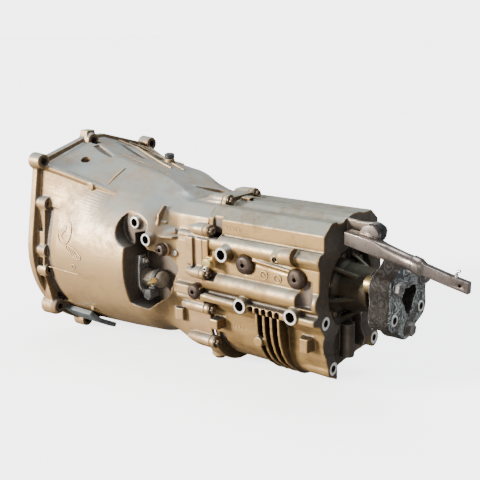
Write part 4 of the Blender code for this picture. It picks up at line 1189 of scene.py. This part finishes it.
def slave_pipe():
    """Clamp round the cylinder, with the pipe's stub and its connector."""
    x, y, z = SLAVE_X + 44, SLAVE_Y, SLAVE_Z
    clamp = rod("X", (y, z), [(x - 7.5, 17.4), (x - 1, 17.4)], 64)
    join(clamp, box((x - 10.5, y - 19, z - 26), (x + 2, y - 6, z - 10)))
    cut(clamp, rod("X", (y, z), [(x - 14, 15.3), (x + 6, 15.3)], 64),
        rod("Y", (x, z), [(y - 30, 7.4), (y - 2, 7.4)], 40))
    bevel(clamp, 0.6)
    finish(clamp, "pipe_clamp", BLACK, "case")

    path = [(x, y - 22.3, z), (x, y - 27, z), (x + 1.2, y - 30.5, z + 1), (x + 4, y - 33, z + 3),
            (x + 8, y - 33.8, z + 5), (x + 12, y - 34, z + 7), (x + 18, y - 34, z + 10)]
    pipe = sweep(path, 3.2, 24)
    join(pipe, sweep(path[-2:], 4.6, 6))
    bevel(pipe, 0.3)
    finish(pipe, "pipe_stub", BRASS, "case", ["hydraulic_pipe"])
    block = prism("Y", [(x - 10, z - 12), (x + 3, z - 10), (x + 5, z - 22), (x - 2, z - 30),
                        (x - 13, z - 26)], y - 30, y - 20)
    bevel(block, 1.2, 3)
    finish(block, "pipe_connector", BLACK, "case")


def slave():
    slave_body()
    slave_bracket()
    slave_pipe()
    hex_nut("bracket_nut_upper", SLAVE_Y - 5, SLAVE_Z + 29, ["slave_nut_upper"])
    hex_nut("bracket_nut_lower", SLAVE_Y + 4, SLAVE_Z - 29, ["slave_nut_lower"])


def on_lever(x, along, offset):
    """Point of the release lever from its own lengthwise and crosswise places."""
    c, s = math.cos(LEVER_TILT), math.sin(LEVER_TILT)
    return (x, along * c - offset * s, along * s + offset * c)


def release_lever():
    outline = [(-106, -9), (-106, 9), (-60, 16), (-34, 36), (34, 36), (70, 14), (74, 0),
               (70, -14), (34, -36), (-34, -36), (-60, -16)]
    body = loft([[on_lever(x, a, o) for a, o in outline] for x in (LEVER_X - 4, LEVER_X + 3)])
    nose = LEVER_X - 5.6
    adds = [sweep([on_lever(nose, 0, s * 22), on_lever(nose, 0, s * 33)], 5, 24)
            for s in (-1, 1)]
    adds.append(sweep([on_lever(196, PIVOT_ARM, 0), on_lever(205, PIVOT_ARM, 0)], [12, 13], 32))
    adds.append(sweep([on_lever(LEVER_X - 1, -100.2, -8), on_lever(LEVER_X - 1, -100.2, 8)],
                      6, 24))
    join(body, *adds)
    opening = [(-26, -20), (-26, 20), (26, 20), (26, -20)]
    hole = loft([[on_lever(x, a, o) for a, o in opening] for x in (LEVER_X - 20, LEVER_X + 20)])
    centre = on_lever(0, PIVOT_ARM, 0)[1:]
    cut(body, hole, rod("X", centre, [(199.6, 4), (201, 6.5), (204, 8.2), (215, 8.2)], 32))
    bevel(body, 1.0, 3)
    finish(body, "lever_forging", FORGED, "release_lever", ["release_lever"])

    ball = [(207 - 6.8 * math.cos(math.radians(a)), 6.8 * math.sin(math.radians(a)))
            for a in range(10, 125, 10)]
    stud = rod("X", centre, ball + [(222, 4.5), (222.1, 8), (234, 8), (234.1, 5), (245.5, 5)], 40)
    finish(stud, "pivot_stud", STEEL, "case", ["pivot_ball"])


def release_parts():
    body = tube("X", (0, 0), [(120, 15), (239, 15), (239, 24), (245.7, 24), (245.7, 48),
                              (238, 48), (236, 26), (233, 19.6), (232, 19), (121, 19),
                              (120, 18.4)], 96)
    finish(body, "guide_tube", ALLOY, "case", ["release_guide_tube"])

    release_lever()
    body = tube("X", (0, 0), [(150, 19.5), (190, 19.5), (190, 22), (178, 22), (178, 24),
                              (193, 24), (193, 36), (168, 36), (167, 35), (166.5, 33), (151, 33),
                              (150, 31.5), (150, 28), (151.4, 26), (151.4, 22), (150, 21)], 96)
    finish(body, "throwout_bearing", STEEL, "release_bearing", ["release_bearing"])

    body = rod("X", (SLAVE_Y, SLAVE_Z), [(209.9, 4), (210.4, 5), (212, 6), (243, 6),
                                         (243.1, 9.7), (260, 9.7)], 40)
    finish(body, "slave_pushrod", STEEL, "slave_piston", ["slave_piston"])

    teeth = []
    for i in range(10):
        for k, r in ((-0.3, 11.2), (-0.2, 12.2), (0.2, 12.2), (0.3, 11.2)):
            t = 2 * math.pi * (i + k) / 10
            teeth.append((r * math.cos(t), r * math.sin(t)))
    spline = prism("X", teeth, 26, 92)
    bevel(spline, 0.25, 1)
    finish(spline, "input_splines", STEEL, "input")


# ---------------------------------------------------------------- output end

def output_flange():
    hub = rod("X", (0, 0), [(622, 25), (634, 25), (636, 24), (645, 20.5), (646, 19.5)], 72)
    outline = [(12, -16), (36, -11.5), (48, -11.5)] + arc((DISC_R, 0), 11.5, -80, 80, 12)
    outline += [(48, 11.5), (36, 11.5), (12, 16)]
    arms = []
    for angle in (30, 150, 270):
        c, s = math.cos(math.radians(angle)), math.sin(math.radians(angle))
        arms.append(prism("X", [(a * c - b * s, a * s + b * c) for a, b in outline], 628, 639))
    join(hub, *arms)
    cut(hub, rod("X", (0, 0), [(600, 16.3), (660, 16.3)], 64))
    bevel(hub, 0.8, 3)
    finish(hub, "flange_forging", GOLD, "output", ["output_flange"])


def shaft_end():
    body = rod("X", (0, 0), [(646.5, 17), (648, 17)], 64)
    join(body, rod("X", (0, 0), [(647.5, 15), (654, 15), (655, 14)], 6))
    cut(body, rod("X", (0, 0), [(640, 11.3), (660, 11.3)], 48))
    bevel(body, 0.4)
    finish(body, "shaft_nut", ZINC, "output", ["output_nut"])
    tip = tube("X", (0, 0), [(658.2, 2.4), (661, 3.4), (661, 7), (660, 8), (658.2, 8)], 40)
    finish(tip, "shaft_centre", BRIGHT, "output")


def coupling_disc():
    """Rubber disc with six lobes, a three-sided hole, a sleeve in each lobe and three bolts."""
    lean = math.radians(30)
    outline = wavy(61.5, 4.5, 6, 180, lean)
    body = cross_loft([(x, [(y * k, z * k) for y, z in outline]) for x, k in
                       ((639.4, 0.945), (640.2, 0.972), (642, 0.99), (645, 1), (655, 0.992),
                        (659, 0.992), (669, 1), (672, 0.99), (673.8, 0.972), (674.4, 0.945))])
    places = circle((0, 0), DISC_R, 6, 30)
    cuts = [prism("X", wavy(20, 4.5, 3, 96, lean), 630, 680)]
    cuts += [rod("X", p, [(630, 9.3), (680, 9.3)], 40) for p in places]
    cuts += [tube("X", p, [(673.7, 12.2), (673.7, 13.2), (680, 13.2), (680, 12.2)], 48)
             for p in places]
    cut(body, *cuts)
    finish(body, "coupling_disc", DISC, "output", ["flex_disc"], 40)

    for i, p in enumerate(places):
        disc_sleeve(f"disc_sleeve_{i + 1}", p)
        if i % 2 == 0:
            disc_bolt(f"disc_bolt_{i // 2 + 1}", p)


def disc_sleeve(name, place):
    inner, outer = 5.8, 9.0
    sleeve = tube("X", place, [(639.6, inner), (674.8, inner), (674.8, outer - 0.4),
                               (674.2, outer), (640, outer), (639.6, outer - 0.4)], 48)
    sleeve.data.materials.append(BRIGHT)
    sleeve.data.materials.append(BORE)
    middle = world((0, *place))
    for face in sleeve.data.polygons:
        away = (face.center - middle) * 1000
        face.material_index = int(math.hypot(away.y, away.z) < inner + 0.4)
    finish(sleeve, name, BRIGHT, "output")


def disc_bolt(name, place):
    head = rod("X", place, [(662, 4.6), (674.9, 4.6), (675, 12), (676.6, 12), (677.2, 10.8)], 40)
    join(head, rod("X", place, [(676, 10.4), (683.4, 10.4), (684.6, 9)], 6, 11))
    cut(head, rod("X", place, [(683.6, 4), (690, 5)], 24))
    bevel(head, 0.35)
    finish(head, name, GREY_STEEL, "output")


# ---------------------------------------------------------------- shift arm

def arm_ring(x, z, high, wide, corner):
    """Cross-section of the arm: a rectangle with round corners."""
    corner = min(corner, high - 0.2, wide - 0.2)
    ring = []
    for quarter, (ys, zs) in enumerate(((1, 1), (-1, 1), (-1, -1), (1, -1))):
        centre = (ys * (wide - corner), zs * (high - corner))
        ring += arc(centre, corner, 90 * quarter, 90 * quarter + 90, 6)
    return [(x, ARM_Y + y, z + dz) for y, dz in ring]


def arm_body():
    path = [(597, 90, 10, 11, 1.6), (632, 84, 11, 11, 1.6), (646, 81, 11.5, 11, 3),
            (662, 77, 11.5, 10.5, 8), (690, 70, 11, 10.5, 10), (702, 67, 11.2, 11, 10),
            (704, 66.5, 12.4, 12.4, 11), (714, 63.6, 12.4, 12.4, 11), (716, 63, 11, 11, 9),
            (721, 61.6, 8, 7, 2), (752, 54, 8, 6, 1.6), (785, 47, 8, 6, 1.6)]
    body = loft([arm_ring(*station) for station in path])
    join(body, rod("Y", ARM_PIVOT, [(-44, 14.4), (-43, 15), (-34, 15), (-33.6, 14.4)], 64))
    cut(body, rod("Y", ARM_PIVOT, [(-39, 11.5), (-10, 11.5)], 64),
        rod("Y", (774, 49.5), [(-60, 2.6), (-30, 2.6)], 32))
    bevel(body, 0.5, 2, 28)
    finish(body, "arm_body", ARM, "shift_arm", ["shift_arm"])
    clip = sweep([(766, ARM_Y, 58), (766, ARM_Y, 63), (767.5, ARM_Y, 67), (771, ARM_Y, 68.5)],
                 [2.4, 2.2, 2.2, 2.0], 16)
    finish(clip, "arm_clip", ZINC, "shift_arm")


def arm_pivot():
    """Ribbed rubber bush in the arm's eye, and the bolt it turns on."""
    profile = [(-38.5, 5.4), (-17, 5.4), (-17, 13.6)]
    for i in range(4):
        y = -17.4 - i * 4.0
        profile += [(y, 15), (y - 2.2, 15), (y - 2.8, 12.6), (y - 3.4, 12.6)]
    profile += [(-33.2, 11.2), (-38.5, 11.2)]
    finish(tube("Y", ARM_PIVOT, profile, 64), "arm_bushing", RUBBER, "shift_arm",
           ["arm_bush"])
    body = rod("Y", ARM_PIVOT, [(-37, 4.4), (-36.5, 5), (-8.7, 5), (-8.6, 8.5), (-4, 8.5),
                                (-3, 7.4)], 48)
    finish(body, "arm_bolt", ZINC, "case", ["arm_pin"])


# ---------------------------------------------------------------- carried-over CAD nodes

def dress_nodes():
    """Give each CAD node the look of its material slot."""
    looks = {"steel": STEEL, "gear_steel": GEAR, "alloy": ALLOY, "rubber": SEAL, "zinc": ZINC,
             "black_plastic": BLACK, "brass": BRASS, "brown_plug": BROWN,
             "disc_rubber": DISC, "bell_casting": BELL, "case_casting": CASE}
    slots = {part["node"]: part["material_slot"] for part in frame["record"]["subparts"]}
    for name, node in frame["nodes"].items():
        look = looks[slots[name]]
        for slot in node.material_slots:
            slot.material = look
        if not node.material_slots:
            node.data.materials.append(look)


# ---------------------------------------------------------------- studio

def sun(name, place, spread, strength, tint):
    """Wide soft light from a direction, the same everywhere."""
    data = bpy.data.lights.new(name, "SUN")
    data.angle = math.radians(spread)
    data.energy = strength
    data.color = tint
    lamp = bpy.data.objects.new(name, data)
    lamp.rotation_euler = (-Vector(place)).to_track_quat("-Z", "Y").to_euler()
    bpy.context.scene.collection.objects.link(lamp)


def studio_sky():
    """Even pale surroundings that are brighter overhead, seen as white behind the object."""
    sky = bpy.data.worlds.new("studio")
    sky.use_nodes = True
    tree = sky.node_tree
    out = tree.nodes["World Output"]
    soft = tree.nodes["Background"]
    height = tree.nodes.new("ShaderNodeSeparateXYZ")
    tree.links.new(tree.nodes.new("ShaderNodeTexCoord").outputs["Generated"], height.inputs[0])
    fade = tree.nodes.new("ShaderNodeMapRange")
    fade.inputs["From Min"].default_value = 0.1
    fade.inputs["From Max"].default_value = 0.9
    fade.inputs["To Min"].default_value = 0.05
    fade.inputs["To Max"].default_value = 0.5
    tree.links.new(height.outputs["Z"], fade.inputs["Value"])
    soft.inputs["Color"].default_value = (0.93, 0.97, 1.0, 1.0)
    tree.links.new(fade.outputs["Result"], soft.inputs["Strength"])
    plain = tree.nodes.new("ShaderNodeBackground")
    plain.inputs["Color"].default_value = (1.0, 1.0, 1.0, 1.0)
    plain.inputs["Strength"].default_value = 5.0
    rays = tree.nodes.new("ShaderNodeLightPath")
    both = tree.nodes.new("ShaderNodeMixShader")
    tree.links.new(rays.outputs["Is Camera Ray"], both.inputs[0])
    tree.links.new(soft.outputs[0], both.inputs[1])
    tree.links.new(plain.outputs[0], both.inputs[2])
    tree.links.new(both.outputs[0], out.inputs["Surface"])
    bpy.context.scene.world = sky


def ground():
    """Pale floor just under the object, seen white and bouncing little light."""
    half, level = 60.0, CAD_LOW.z - 0.001
    floor = bpy.data.meshes.new("floor")
    floor.from_pydata([(-half, -half, level), (half, -half, level), (half, half, level),
                       (-half, half, level)], [], [(0, 1, 2, 3)])
    plane = bpy.data.objects.new("floor", floor)
    s = Shade("floor_paper", 0.9, 0.0)
    seen = s.node("ShaderNodeLightPath").outputs["Is Camera Ray"]
    s.colour(s.mix(seen, (0.22, 0.22, 0.22), (0.88, 0.88, 0.88)))
    s.surface.inputs["Emission Color"].default_value = (1.0, 1.0, 1.0, 1.0)
    glow = s.ramp(seen, 0.0, 1.0, 0.0, 3.0)
    s.link(glow, s.surface.inputs["Emission Strength"])
    plane.data.materials.append(s.material)
    bpy.context.scene.collection.objects.link(plane)


def lights():
    studio_sky()
    sun("key", (-0.75, -1.0, 0.34), 18, 10.5, (1.0, 0.95, 0.87))
    sun("top", (0.1, 0.3, 1.0), 40, 2.9, (0.90, 0.96, 1.0))
    sun("rim", (1.0, -0.5, 0.25), 50, 1.2, (0.95, 0.97, 1.0))


def aim_camera():
    """Camera at the photograph's angle."""
    azimuth, elevation, roll = (math.radians(a) for a in (38.64, 14.407, -0.83))
    back = Vector((math.sin(azimuth) * math.cos(elevation),
                   -math.cos(azimuth) * math.cos(elevation), math.sin(elevation)))
    right = (-back).cross(Vector((0, 0, 1))).normalized()
    up = right.cross(-back)
    turned = right * math.cos(roll) + up * math.sin(roll)
    upright = up * math.cos(roll) - right * math.sin(roll)
    aim = world((358.84, 0.0, 40.59))
    data = bpy.data.cameras.new("camera")
    data.sensor_width = 36.0
    data.lens = 62.28
    camera = bpy.data.objects.new("camera", data)
    camera.matrix_world = Matrix((turned, upright, back)).transposed().to_4x4()
    camera.location = aim + back * 1.4
    bpy.context.scene.collection.objects.link(camera)
    bpy.context.scene.camera = camera


bell_casting()
cover_lip()
case_casting()
tail_casting()
joint_bolts()
plugs()
switch_and_breather()
slave()
release_parts()
output_flange()
shaft_end()
coupling_disc()
arm_body()
arm_pivot()
dress_nodes()
ground()
lights()
aim_camera()
